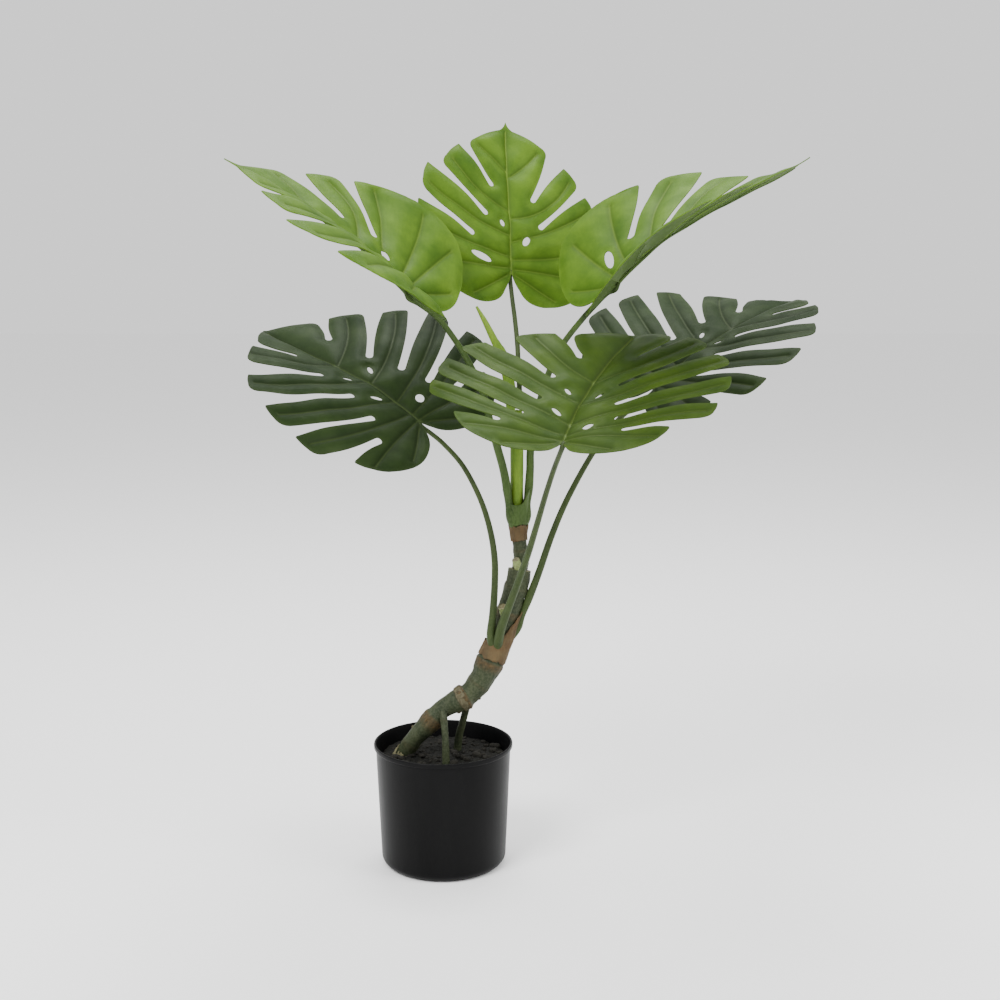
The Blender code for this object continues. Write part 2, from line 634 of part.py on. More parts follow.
def make_guide(name, points, resolution, guides):
    """The same tube a little fatter, for cutting its neighbours with."""
    route = smooth_route(points, ROUTE_STEPS)
    return as_guide(as_mesh(tube_curve(name + "_guide", route, resolution, guides, grow=GAP)))


def make_husk(name, material, guides, collection, parent):
    """A thin husk round a stretch of stem, open at both ends, and a solid guide of its outside."""
    route, start, end, flare = HUSKS[name]
    part = stretch(route, start, end)
    last = len(part) - 1
    inner = [Vector((*point[:3], point[3] + HUSK_CLEARANCE + flare * (i / last) ** 2))
             for i, point in enumerate(part)]
    husk = as_mesh(tube_curve(name, inner, TRUNK_RESOLUTION, collection, caps=False), parent)
    husk.data.materials.append(material)
    solid = husk.modifiers.new("thickness", "SOLIDIFY")
    solid.thickness = SHEATH_THICKNESS
    solid.offset = 1.0
    smooth(husk)
    guide = tube_curve(name + "_guide", inner, TRUNK_RESOLUTION, guides, grow=SHEATH_THICKNESS + GAP)
    return as_guide(as_mesh(guide))


def make_plant(materials, collection, guides, parent):
    """Every stem, root and husk, from the trunk outwards; returns the guides that cut the soil."""
    bark, stem, husk, young = (materials[name] for name in ("bark", "stem", "husk", "young"))
    make_stem("trunk", TRUNK_ROUTE, TRUNK_RESOLUTION, bark, [], collection, parent)
    make_stem("upper_stem", UPPER_STEM_ROUTE, TRUNK_RESOLUTION, bark, [], collection, parent)
    make_stem("crown", CROWN_ROUTE, TRUNK_RESOLUTION, young, [], collection, parent)
    trunk = make_guide("trunk", TRUNK_ROUTE, TRUNK_RESOLUTION, guides)
    upper = make_guide("upper_stem", UPPER_STEM_ROUTE, TRUNK_RESOLUTION, guides)
    crown = make_guide("crown", CROWN_ROUTE, TRUNK_RESOLUTION, guides)
    ring = make_husk("husk_ring", husk, guides, collection, parent)
    lower_husk = make_husk("husk_lower", husk, guides, collection, parent)
    upper_husk = make_husk("husk_upper", husk, guides, collection, parent)
    cup = make_husk("leaf_cup", stem, guides, collection, parent)

    buried = [trunk]
    for name, route in ROOT_ROUTES.items():
        make_stem("root_" + name, route, STEM_RESOLUTION, bark, [trunk, ring], collection, parent)
        buried.append(make_guide("root_" + name, route, STEM_RESOLUTION, guides))

    routes = {leaf.name: stalk_route(leaf) for leaf in LEAVES}
    left = make_guide("stalk_left", routes["left"], STEM_RESOLUTION, guides)
    front = make_guide("stalk_front", routes["front"], STEM_RESOLUTION, guides)
    top = make_guide("stalk_top", routes["top"], STEM_RESOLUTION, guides)
    cut_by = {
        "left": [trunk, lower_husk], "front": [trunk, lower_husk, left, upper_husk],
        "right": [trunk, front], "top": [crown],
        "upper_left": [cup, upper, crown], "upper_right": [cup, upper, crown],
    }
    for name, route in routes.items():
        make_stem("stalk_" + name, route, STEM_RESOLUTION, stem, cut_by[name], collection, parent)
    make_stem("new_leaf", NEW_LEAF_ROUTE, STEM_RESOLUTION, young, [crown, top], collection, parent)
    make_stem("stub_lower", STUB_ROUTES["lower"], STEM_RESOLUTION, young, [trunk, left, front],
              collection, parent)
    make_stem("stub_upper", STUB_ROUTES["upper"], STEM_RESOLUTION, young, [trunk, upper, front],
              collection, parent)
    return buried


def main():
    clear_scene()
    plant = make_collection("potted_monstera")
    guides = make_collection("cutters")
    materials = make_materials()
    stand = bpy.data.objects.new("potted_monstera", None)
    plant.objects.link(stand)

    make_pot(plant, stand, materials["pot"])
    soil = make_soil(plant, stand, materials["soil"])
    for guide in make_plant(materials, plant, guides, stand):
        cut(soil, guide)
    for leaf in LEAVES:
        make_blade(leaf, plant, stand, materials[leaf.colour])


main()
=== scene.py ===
"""The finished look of a potted monstera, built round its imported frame.

Metres, +Z up, -Y is the front. Every blade is a fine mesh over the same flat pattern and the
same bends as its solid, with sunken veins and raised panels; stems, husks and roots are lofted
along the routes that their solids follow. Lengths in a pattern are shares of the blade's length.
"""
import math
import random
from collections import namedtuple

import bpy
from mathutils import Matrix, Vector, kdtree, noise
from mathutils.geometry import delaunay_2d_cdt


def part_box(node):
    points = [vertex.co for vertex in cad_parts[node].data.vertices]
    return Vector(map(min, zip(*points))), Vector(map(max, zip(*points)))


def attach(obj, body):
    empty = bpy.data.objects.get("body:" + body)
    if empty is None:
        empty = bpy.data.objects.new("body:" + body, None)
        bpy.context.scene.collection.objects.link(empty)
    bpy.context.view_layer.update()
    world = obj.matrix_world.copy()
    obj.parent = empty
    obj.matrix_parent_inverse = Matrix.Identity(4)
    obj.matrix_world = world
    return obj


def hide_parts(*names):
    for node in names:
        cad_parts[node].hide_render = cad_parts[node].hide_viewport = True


random.seed(11)
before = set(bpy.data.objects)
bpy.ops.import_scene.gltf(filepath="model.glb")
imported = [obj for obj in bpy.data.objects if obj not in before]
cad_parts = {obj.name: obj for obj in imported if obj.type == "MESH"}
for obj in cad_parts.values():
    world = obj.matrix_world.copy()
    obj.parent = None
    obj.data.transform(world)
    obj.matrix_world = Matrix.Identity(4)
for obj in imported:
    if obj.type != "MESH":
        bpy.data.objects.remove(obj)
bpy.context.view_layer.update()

# --- View ------------------------------------------------------------------------------------
CAMERA_PLACE = (0.0606, -1.6, 0.6807)
CAMERA_PITCH = 79.87           # degrees up from straight down
LENS_MM = 56.3

# --- Sizes that the frame doesn't give ---------------------------------------------------------
BLADE_THICKNESS = 0.0010
POT_WALL = 0.0020
POT_TOP_RADIUS = 0.0719
POT_BASE_RADIUS = 0.0668
HEEL_RADIUS = 0.010
LIP_HEIGHT = 0.0050
LIP_ROUND = 0.0012
BEND_STEPS = 16

# --- Blade patterns ----------------------------------------------------------------------------
# One half of a blade, from beside the tip down to the notch where the stalk joins.
# A corner is (across, along, rounding); a slit is the rounded inner end of a cut.
CORNER, SLIT = "corner", "slit"
SLIT_RADIUS = 0.018

BROAD_RIGHT = (
    (CORNER, 0.27, 0.86, 0.07), (SLIT, 0.15, 0.69), (CORNER, 0.33, 0.84, 0.01),
    (CORNER, 0.49, 0.73, 0.07), (SLIT, 0.15, 0.44), (CORNER, 0.54, 0.65, 0.01),
    (CORNER, 0.65, 0.56, 0.07), (SLIT, 0.18, 0.27), (CORNER, 0.66, 0.45, 0.01),
    (CORNER, 0.68, 0.33, 0.07), (SLIT, 0.21, 0.13), (CORNER, 0.65, 0.22, 0.01),
    (CORNER, 0.64, 0.09, 0.07), (SLIT, 0.26, 0.02), (CORNER, 0.48, 0.00, 0.02),
    (CORNER, 0.42, -0.15, 0.13), (CORNER, 0.22, -0.20, 0.12), (CORNER, 0.05, -0.12, 0.08),
)
BROAD_LEFT = (
    (CORNER, 0.25, 0.85, 0.07), (SLIT, 0.12, 0.68), (CORNER, 0.31, 0.82, 0.01),
    (CORNER, 0.48, 0.72, 0.07), (SLIT, 0.17, 0.48), (CORNER, 0.56, 0.63, 0.01),
    (CORNER, 0.66, 0.54, 0.07), (SLIT, 0.17, 0.29), (CORNER, 0.66, 0.44, 0.01),
    (CORNER, 0.68, 0.32, 0.07), (SLIT, 0.21, 0.13), (CORNER, 0.66, 0.25, 0.01),
    (CORNER, 0.65, 0.12, 0.07), (SLIT, 0.29, 0.02), (CORNER, 0.50, 0.01, 0.02),
    (CORNER, 0.41, -0.14, 0.13), (CORNER, 0.22, -0.20, 0.12), (CORNER, 0.05, -0.12, 0.08),
)
SMALL_RIGHT = (
    (CORNER, 0.28, 0.84, 0.06), (SLIT, 0.15, 0.46), (CORNER, 0.38, 0.73, 0.01),
    (CORNER, 0.48, 0.60, 0.07), (SLIT, 0.19, 0.29), (CORNER, 0.51, 0.53, 0.01),
    (CORNER, 0.59, 0.39, 0.10), (CORNER, 0.63, 0.17, 0.12), (CORNER, 0.55, -0.03, 0.12),
    (CORNER, 0.40, -0.16, 0.10), (CORNER, 0.22, -0.21, 0.08), (CORNER, 0.08, -0.17, 0.07),
)
SMALL_LEFT = (
    (CORNER, 0.27, 0.84, 0.06), (SLIT, 0.11, 0.54), (CORNER, 0.33, 0.81, 0.01),
    (CORNER, 0.46, 0.66, 0.07), (SLIT, 0.16, 0.34), (CORNER, 0.54, 0.64, 0.01),
    (CORNER, 0.60, 0.46, 0.07), (SLIT, 0.26, 0.20), (CORNER, 0.62, 0.38, 0.02),
    (CORNER, 0.64, 0.18, 0.12), (CORNER, 0.56, -0.03, 0.12),
    (CORNER, 0.40, -0.16, 0.10), (CORNER, 0.22, -0.21, 0.08), (CORNER, 0.08, -0.17, 0.07),
)
# Small holes beside the midrib: (across, along, half width, half length, turn in degrees).
BROAD_HOLES = (
    (0.08, 0.38, 0.012, 0.028, -35), (0.10, 0.09, 0.022, 0.026, -60),
    (-0.08, 0.40, 0.012, 0.026, 40), (-0.08, 0.22, 0.014, 0.032, 50),
)
SMALL_HOLES = (
    (0.10, 0.20, 0.020, 0.034, -35), (-0.06, 0.30, 0.016, 0.022, 25), (-0.22, 0.07, 0.022, 0.075, 75),
)
TIP_SHOULDER = (0.042, 0.978)  # where the drawn-out tip begins, either side of the midrib
BROAD_TIP, SMALL_TIP = 1.0, 1.05   # how far each drawn-out tip reaches

# Main side veins: where each leaves the midrib, where it passes between two cuts, where it ends.
BROAD_VEINS = (
    (1, (0.52, (0.15, 0.585), (0.385, 0.765))), (1, (0.31, (0.18, 0.365), (0.565, 0.585))),
    (1, (0.15, (0.20, 0.200), (0.635, 0.385))), (1, (0.05, (0.235, 0.078), (0.61, 0.155))),
    (1, (0.01, (0.20, -0.020), (0.42, -0.075))), (1, (0.00, (0.10, -0.070), (0.24, -0.150))),
    (-1, (0.53, (0.13, 0.585), (0.375, 0.755))), (-1, (0.33, (0.18, 0.395), (0.575, 0.570))),
    (-1, (0.16, (0.19, 0.215), (0.630, 0.375))), (-1, (0.06, (0.24, 0.083), (0.62, 0.185))),
    (-1, (0.01, (0.20, -0.020), (0.43, -0.070))), (-1, (0.00, (0.10, -0.070), (0.24, -0.150))),
)
SMALL_VEINS = (
    (1, (0.34, (0.17, 0.385), (0.405, 0.620))), (1, (0.19, (0.24, 0.270), (0.530, 0.430))),
    (1, (0.08, (0.27, 0.110), (0.560, 0.190))), (1, (0.02, (0.22, 0.010), (0.480, -0.010))),
    (1, (0.00, (0.12, -0.070), (0.270, -0.150))), (1, (0.62, (0.09, 0.690), (0.205, 0.820))),
    (-1, (0.39, (0.14, 0.450), (0.370, 0.680))), (-1, (0.23, (0.21, 0.290), (0.535, 0.490))),
    (-1, (0.10, (0.27, 0.140), (0.580, 0.230))), (-1, (0.03, (0.22, 0.020), (0.500, 0.020))),
    (-1, (0.00, (0.12, -0.070), (0.270, -0.150))), (-1, (0.66, (0.08, 0.730), (0.195, 0.830))),
)

Pattern = namedtuple("Pattern", "right left holes tip veins")
BROAD = Pattern(BROAD_RIGHT, BROAD_LEFT, BROAD_HOLES, BROAD_TIP, BROAD_VEINS)
SMALL = Pattern(SMALL_RIGHT, SMALL_LEFT, SMALL_HOLES, SMALL_TIP, SMALL_VEINS)

# --- Leaves ------------------------------------------------------------------------------------
# notch: where the stalk meets the blade. heading, pitch, roll: which way the midrib leaves the
# notch and how the blade is turned about it. arch and curl bend the midrib down, curl near the
# tip. lift, turn and droop are for the right and left half: the half's rise from the midrib, the
# change of that rise towards the tip, and the bend outwards. sweep moves the tip to the right.
Leaf = namedtuple("Leaf", "name pattern colour length notch heading pitch roll"
                          " arch curl lift turn droop sweep")
LEAVES = (
    Leaf("top", SMALL, "light_leaf", 0.182, (0.073, 0.105, 0.625), 95, 73, 21,
         29, -9, (5, 14), (1, -8), (7, 17), 0.09),
    Leaf("upper_left", SMALL, "light_leaf", 0.209, (-0.029, -0.040, 0.610), 184, 47, -2,
         23, -5, (24, 18), (-19, -18), (-42, 48), -0.08),
    Leaf("upper_right", SMALL, "light_leaf", 0.214, (0.174, -0.040, 0.619), 2, 49, -9,
         47, -29, (-3, 24), (0, -21), (-12, -52), 0.04),
    Leaf("left", BROAD, "dark_leaf", 0.214, (-0.021, -0.016, 0.479), 158, 38, -18,
         46, -31, (18, 2), (-13, 24), (8, 19), 0.02),
    Leaf("front", BROAD, "mid_leaf", 0.215, (0.119, -0.160, 0.478), 77, 20, 1,
         -15, 16, (19, 19), (0, 0), (29, 17), 0.18),
    Leaf("right", BROAD, "dark_leaf", 0.220, (0.226, 0.070, 0.505), 26, 39, 1,
         34, -5, (4, 25), (9, -23), (26, -5), -0.08),
)

# --- Stems: every route is a list of (x, y, z, radius) -----------------------------------------
TRUNK_ROUTE = (
    (-0.052, 0.013, 0.098, 0.0088), (-0.043, 0.008, 0.116, 0.0091), (-0.030, 0.003, 0.136, 0.0098),
    (-0.014, 0.000, 0.154, 0.0112), (0.000, 0.000, 0.169, 0.0106), (0.019, 0.000, 0.180, 0.0126),
    (0.030, 0.002, 0.187, 0.0122), (0.041, 0.004, 0.201, 0.0134), (0.049, 0.005, 0.218, 0.0144),
    (0.056, 0.006, 0.234, 0.0136), (0.062, 0.008, 0.248, 0.0130), (0.067, 0.010, 0.266, 0.0130),
    (0.074, 0.012, 0.287, 0.0128), (0.079, 0.0140, 0.303, 0.0130), (0.0815, 0.0155, 0.3175, 0.0126),
)
UPPER_STEM_ROUTE = (
    (0.0817, 0.0156, 0.3185, 0.0088), (0.0828, 0.0165, 0.3285, 0.0082), (0.082, 0.017, 0.340, 0.0079),
    (0.0805, 0.018, 0.353, 0.0079), (0.080, 0.0185, 0.366, 0.0092), (0.079, 0.019, 0.380, 0.0086),
)
CROWN_ROUTE = (
    (0.0788, 0.0192, 0.3808, 0.0072), (0.078, 0.020, 0.398, 0.0069), (0.078, 0.022, 0.423, 0.0068),
    (0.078, 0.024, 0.448, 0.0066), (0.079, 0.028, 0.468, 0.0056), (0.080, 0.034, 0.484, 0.0040),
)
# A stalk's last point is worked out from its blade: this far back from the notch, and this far
# under the blade.
STALK_BACK = 0.0040
STALK_UNDER = 0.0038
STALK_END_RADIUS = 0.0023
STALK_ROUTES = {
    "top": (
        (0.0802, 0.0350, 0.4864, 0.0034), (0.081, 0.042, 0.506, 0.0028), (0.080, 0.052, 0.530, 0.0026),
        (0.079, 0.064, 0.552, 0.0026), (0.0765, 0.083, 0.577, 0.0025), (0.0735, 0.100, 0.600, 0.0024),
    ),
    "upper_left": (
        (0.0700, 0.0130, 0.388, 0.0040), (0.0680, 0.0110, 0.404, 0.0045), (0.064, 0.010, 0.426, 0.0042),
        (0.057, 0.007, 0.452, 0.0041), (0.050, 0.003, 0.478, 0.0038), (0.043, 0.000, 0.507, 0.0035),
        (0.030, -0.005, 0.536, 0.0032), (0.015, -0.015, 0.562, 0.0030), (-0.001, -0.026, 0.584, 0.0029),
        (-0.018, -0.036, 0.598, 0.0026),
    ),
    "upper_right": (
        (0.0890, 0.0220, 0.388, 0.0040), (0.0910, 0.0230, 0.404, 0.0046), (0.0922, 0.024, 0.424, 0.0042),
        (0.093, 0.026, 0.447, 0.0040), (0.100, 0.030, 0.485, 0.0036), (0.111, 0.034, 0.522, 0.0034),
        (0.125, 0.033, 0.552, 0.0031), (0.143, 0.018, 0.578, 0.0030), (0.158, -0.008, 0.598, 0.0029),
        (0.167, -0.028, 0.609, 0.0026),
    ),
    "left": (
        (0.0535, -0.001, 0.238, 0.0050), (0.0510, -0.005, 0.252, 0.0046), (0.053, -0.009, 0.274, 0.0040),
        (0.055, -0.012, 0.305, 0.0036), (0.055, -0.014, 0.336, 0.0034), (0.050, -0.016, 0.368, 0.0031),
        (0.040, -0.018, 0.400, 0.0028), (0.023, -0.018, 0.433, 0.0026), (0.004, -0.017, 0.455, 0.0024),
        (-0.0100, -0.0165, 0.4670, 0.0023),
    ),
    "front": (
        (0.0585, -0.006, 0.243, 0.0050), (0.0620, -0.014, 0.262, 0.0048), (0.069, -0.022, 0.284, 0.0042),
        (0.078, -0.034, 0.312, 0.0038), (0.089, -0.056, 0.350, 0.0035), (0.098, -0.082, 0.388, 0.0031),
        (0.105, -0.108, 0.420, 0.0028), (0.112, -0.134, 0.449, 0.0026),
    ),
    "right": (
        (0.0840, 0.0090, 0.270, 0.0038), (0.0920, 0.0085, 0.290, 0.0042), (0.102, 0.0095, 0.317, 0.0038),
        (0.116, 0.018, 0.356, 0.0035), (0.133, 0.030, 0.393, 0.0032), (0.160, 0.048, 0.438, 0.0029),
        (0.186, 0.060, 0.470, 0.0027), (0.209, 0.0660, 0.4880, 0.0025),
    ),
}
NEW_LEAF_ROUTE = (
    (0.0700, 0.0190, 0.470, 0.0030), (0.0715, 0.0190, 0.490, 0.0050), (0.070, 0.019, 0.513, 0.0058),
    (0.064, 0.018, 0.541, 0.0052), (0.055, 0.017, 0.559, 0.0040), (0.045, 0.015, 0.579, 0.0028),
    (0.0365, 0.014, 0.594, 0.0012),
)
ROOT_ROUTES = {
    "front": (
        (0.0000, -0.006, 0.170, 0.0042), (0.0015, -0.013, 0.158, 0.0040), (0.003, -0.018, 0.141, 0.0038),
        (0.0035, -0.021, 0.124, 0.0042), (0.004, -0.022, 0.102, 0.0046),
    ),
    "back": (
        (0.0250, 0.004, 0.178, 0.0045), (0.0235, 0.012, 0.163, 0.0042), (0.020, 0.018, 0.147, 0.0040),
        (0.016, 0.022, 0.130, 0.0044), (0.013, 0.024, 0.102, 0.0048),
    ),
}
STUB_ROUTES = {
    "lower": ((0.0670, 0.0020, 0.2680, 0.0044), (0.0645, -0.0035, 0.2755, 0.0045),
              (0.0630, -0.0080, 0.2830, 0.0043)),
    "upper": ((0.0800, 0.0080, 0.3205, 0.0042), (0.0785, 0.0050, 0.3255, 0.0043),
              (0.0770, 0.0030, 0.3310, 0.0040)),
}
# Where a stalk's sheath runs into the stem it grows from, below its solid's first point.
STALK_BASES = {
    "upper_left": ((0.0775, 0.0150, 0.3600, 0.0040), (0.0735, 0.0140, 0.3740, 0.0062)),
    "upper_right": ((0.0825, 0.0170, 0.3600, 0.0040), (0.0868, 0.0195, 0.3740, 0.0062)),
    "left": ((0.0560, 0.0040, 0.2220, 0.0030),),
    "front": ((0.0570, 0.0010, 0.2280, 0.0030),),
    "right": ((0.0735, 0.0100, 0.2450, 0.0030), (0.0790, 0.0095, 0.2570, 0.0050)),
}


# --- Small helpers -----------------------------------------------------------------------------
def smooth_route(points, steps):
    """Points on a smooth curve through the route's own points; the radius runs along with them."""
    knots = [Vector(point) for point in points]
    padded = [2 * knots[0] - knots[1]] + knots + [2 * knots[-1] - knots[-2]]
    route = []
    for before, start, end, after in zip(padded, padded[1:], padded[2:], padded[3:]):
        for step in range(steps):
            t = step / steps
            route.append(0.5 * (2 * start + (end - before) * t
                                + (2 * before - 5 * start + 4 * end - after) * t ** 2
                                + (3 * start - before - 3 * end + after) * t ** 3))
    route.append(knots[-1])
    return route


def ease(value):
    """0 below 0, 1 above 1, and smooth between."""
    value = min(max(value, 0.0), 1.0)
    return value * value * (3 - 2 * value)


def new_piece(name, points, faces, materials, slot, nodes=(), indices=None):
    """A smooth-shaded mesh piece that rides with the plant and may stand for CAD nodes."""
    mesh = bpy.data.meshes.new(name)
    mesh.from_pydata(points, [], faces)
    for material in materials:
        mesh.materials.append(material)
    if indices:
        mesh.polygons.foreach_set("material_index", indices)
    mesh.validate()
    mesh.shade_smooth()
    piece = bpy.data.objects.new(name, mesh)
    bpy.context.scene.collection.objects.link(piece)
    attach(piece, "root")
    if nodes:
        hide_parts(*nodes)
    return piece


def thicken(piece, thickness):
    """Give a sheet a thickness on its outer side."""
    solid = piece.modifiers.new("thickness", "SOLIDIFY")
    solid.thickness = thickness
    solid.offset = 1.0
    return piece


# --- Materials ---------------------------------------------------------------------------------
def add_node(tree, kind, values=None, **settings):
    """A shader node; values fills its inputs with numbers, colours or other nodes' outputs."""
    made = tree.nodes.new("ShaderNode" + kind)
    for key, value in settings.items():
        setattr(made, key, value)
    for socket, value in (values or {}).items():
        target = made.inputs[socket]
        if isinstance(value, bpy.types.NodeSocket):
            tree.links.new(value, target)
        else:
            target.default_value = value
    return made


def mix_colour(tree, factor, first, second, blend="MIX"):
    """The colour output of a Mix node."""
    made = add_node(tree, "Mix", data_type="RGBA", blend_type=blend)
    for index, value in ((0, factor), (6, first), (7, second)):
        if isinstance(value, bpy.types.NodeSocket):
            tree.links.new(value, made.inputs[index])
        elif index == 0:
            made.inputs[index].default_value = value
        else:
            made.inputs[index].default_value = (*value, 1.0)
    return made.outputs[2]


def new_group(name, inputs, outputs):
    """An empty node group; inputs is {name: (kind, default)} and outputs is {name: kind}."""
    tree = bpy.data.node_groups.new(name, "ShaderNodeTree")
    for label, (kind, default) in inputs.items():
        socket = tree.interface.new_socket(label, in_out="INPUT", socket_type="NodeSocket" + kind)
        socket.default_value = default
    for label, kind in outputs.items():
        tree.interface.new_socket(label, in_out="OUTPUT", socket_type="NodeSocket" + kind)
    return tree, tree.nodes.new("NodeGroupInput").outputs, tree.nodes.new("NodeGroupOutput").inputs


def mottle_group():
    """Soft patches of a second colour over a first."""
    tree, given, result = new_group(
        "mottle",
        {"First": ("Color", (1, 1, 1, 1)), "Second": ("Color", (0, 0, 0, 1)),
         "Scale": ("Float", 60.0), "Edge": ("Float", 0.15), "Stretch": ("Vector", (1, 1, 1))},
        {"Colour": "Color", "Mask": "Float"})
    place = add_node(tree, "TexCoord").outputs["Object"]
    stretched = add_node(tree, "VectorMath", {0: place, 1: given["Stretch"]}, operation="MULTIPLY")
    cloud = add_node(tree, "TexNoise", {"Vector": stretched.outputs[0], "Scale": given["Scale"],
                                        "Detail": 4.0, "Roughness": 0.6})
    low = add_node(tree, "Math", {0: 0.5, 1: given["Edge"]}, operation="SUBTRACT")
    high = add_node(tree, "Math", {0: 0.5, 1: given["Edge"]}, operation="ADD")
    mask = add_node(tree, "MapRange", {"Value": cloud.outputs[0], "From Min": low.outputs[0],
                                       "From Max": high.outputs[0]})
    tree.links.new(mask.outputs["Result"], result["Mask"])
    tree.links.new(mix_colour(tree, mask.outputs["Result"], (1, 1, 1), (0, 0, 0)), result["Colour"])
    blend = result["Colour"].links[0].from_node
    tree.links.new(given["First"], blend.inputs[6])
    tree.links.new(given["Second"], blend.inputs[7])
    return tree


def grain_group():
    """Fine relief: cells and threads, stretched along an axis."""
    tree, given, result = new_group(
        "grain",
        {"Scale": ("Float", 600.0), "Stretch": ("Vector", (1, 1, 1)), "Depth": ("Float", 0.0001),
         "Normal": ("Vector", (0, 0, 0))},
        {"Normal": "Vector", "Mask": "Float"})
    place = add_node(tree, "TexCoord").outputs["Object"]
    stretched = add_node(tree, "VectorMath", {0: place, 1: given["Stretch"]}, operation="MULTIPLY")
    threads = add_node(tree, "TexNoise", {"Vector": stretched.outputs[0], "Scale": given["Scale"],
                                          "Detail": 3.0, "Roughness": 0.65})
    relief = add_node(tree, "Bump", {"Strength": 1.0, "Distance": given["Depth"],
                                     "Height": threads.outputs[0], "Normal": given["Normal"]})
    tree.links.new(relief.outputs[0], result["Normal"])
    tree.links.new(threads.outputs[0], result["Mask"])
    return tree


def vein_group():
    """A blade's veins: how near the main ones are, and the fine ones that run beside them."""
    tree, given, result = new_group(
        "veins", {"Spacing": ("Float", 420.0), "Waver": ("Float", 5.0), "Depth": ("Float", 0.0001)},
        {"Main": "Float", "Fine": "Float", "Rim": "Float", "CreaseShade": "Float", "Normal": "Vector"})
    main = add_node(tree, "Attribute", attribute_name="vein").outputs["Fac"]
    rim = add_node(tree, "Attribute", attribute_name="rim").outputs["Fac"]
    # crease: painted shade along each sunken main vein
    crease = add_node(tree, "Attribute", attribute_name="crease").outputs["Fac"]
    stripe = add_node(tree, "Attribute", attribute_name="stripe").outputs["Fac"]
    place = add_node(tree, "TexCoord").outputs["Object"]
    drift = add_node(tree, "TexNoise", {"Vector": place, "Scale": 45.0, "Detail": 2.0})
    waver = add_node(tree, "Math", {0: drift.outputs[0], 1: given["Waver"]}, operation="MULTIPLY")
    turns = add_node(tree, "Math", {0: stripe, 1: given["Spacing"], 2: waver.outputs[0]},
                     operation="MULTIPLY_ADD")
    wave = add_node(tree, "Math", {0: turns.outputs[0]}, operation="SINE")
    fine = add_node(tree, "MapRange", {"Value": wave.outputs[0], "From Min": -1.0, "From Max": 1.0})
    relief = add_node(tree, "Bump", {"Strength": 1.0, "Distance": given["Depth"],
                                     "Height": fine.outputs["Result"]})
    tree.links.new(main, result["Main"])
    tree.links.new(rim, result["Rim"])
    tree.links.new(crease, result["CreaseShade"])
    tree.links.new(fine.outputs["Result"], result["Fine"])
    tree.links.new(relief.outputs[0], result["Normal"])
    return tree


GROUPS = {}


def use_group(tree, name, values):
    """Place a shared effect in a material with its own values."""
    made = tree.nodes.new("ShaderNodeGroup")
    made.node_tree = GROUPS[name]
    for socket, value in values.items():
        target = made.inputs[socket]
        if isinstance(value, bpy.types.NodeSocket):
            tree.links.new(value, target)
        elif target.type == "RGBA":
            target.default_value = (*value, 1.0)
        else:
            target.default_value = value
    return made.outputs


def new_material(name, roughness, specular=0.5, coat=0.0):
    """An empty Principled material: its tree and its shader."""
    material = bpy.data.materials.new(name)
    material.use_nodes = True
    shader = material.node_tree.nodes["Principled BSDF"]
    shader.inputs["Roughness"].default_value = roughness
    shader.inputs["Specular IOR Level"].default_value = specular
    shader.inputs["Coat Weight"].default_value = coat
    shader.inputs["Coat Roughness"].default_value = 0.35
    return material, material.node_tree, shader


def leaf_material(name, colour, shade, vein, roughness, specular):
    """A blade's upper side: cloudy green, painted shade along the vein creases, paler veins, a faint ribbing
    and a thin pale rim.
    """
    material, tree, shader = new_material(name, roughness, specular)
    shader.inputs["IOR"].default_value = 1.3
    # the deeper green of the painted shade in the vein creases
    crease_shade_colour = tuple(0.55 * value for value in shade)
    cloud = use_group(tree, "mottle", {"First": colour, "Second": shade, "Scale": 26.0, "Edge": 0.22})
    veins = use_group(tree, "veins", {"Spacing": 300.0, "Waver": 14.0, "Depth": 0.000012})
    ribbed = mix_colour(tree, add_node(tree, "Math", {0: veins["Fine"], 1: 0.07},
                                       operation="MULTIPLY").outputs[0], cloud["Colour"], shade)
    # painted shade: the creases along the main veins are darkened
    crease_shaded = mix_colour(tree, add_node(tree, "Math", {0: veins["CreaseShade"], 1: 0.60},
                                       operation="MULTIPLY").outputs[0], ribbed, crease_shade_colour)
    lined = mix_colour(tree, add_node(tree, "Math", {0: veins["Main"], 1: 0.60},
                                      operation="MULTIPLY").outputs[0], crease_shaded, vein)
    rimmed = mix_colour(tree, add_node(tree, "Math", {0: veins["Rim"], 1: 0.10},
                                       operation="MULTIPLY").outputs[0], lined, vein)
    skin = use_group(tree, "grain", {"Scale": 900.0, "Depth": 0.000006, "Normal": veins["Normal"]})
    tree.links.new(rimmed, shader.inputs["Base Color"])
    tree.links.new(skin["Normal"], shader.inputs["Normal"])
    gloss = add_node(tree, "MapRange", {"Value": cloud["Mask"], "To Min": roughness - 0.05,
                                        "To Max": roughness + 0.08})
    tree.links.new(gloss.outputs["Result"], shader.inputs["Roughness"])
    return material


def underside_material(name, colour, shade, vein):
    """A blade's underside: paler and duller, with its veins standing out."""
    material, tree, shader = new_material(name, 0.62, 0.15)
    cloud = use_group(tree, "mottle", {"First": colour, "Second": shade, "Scale": 40.0, "Edge": 0.25})
    veins = use_group(tree, "veins", {"Spacing": 300.0, "Waver": 14.0, "Depth": 0.000012})
    lined = mix_colour(tree, add_node(tree, "Math", {0: veins["Main"], 1: 0.6},
                                      operation="MULTIPLY").outputs[0], cloud["Colour"], vein)
    tree.links.new(lined, shader.inputs["Base Color"])
    return material


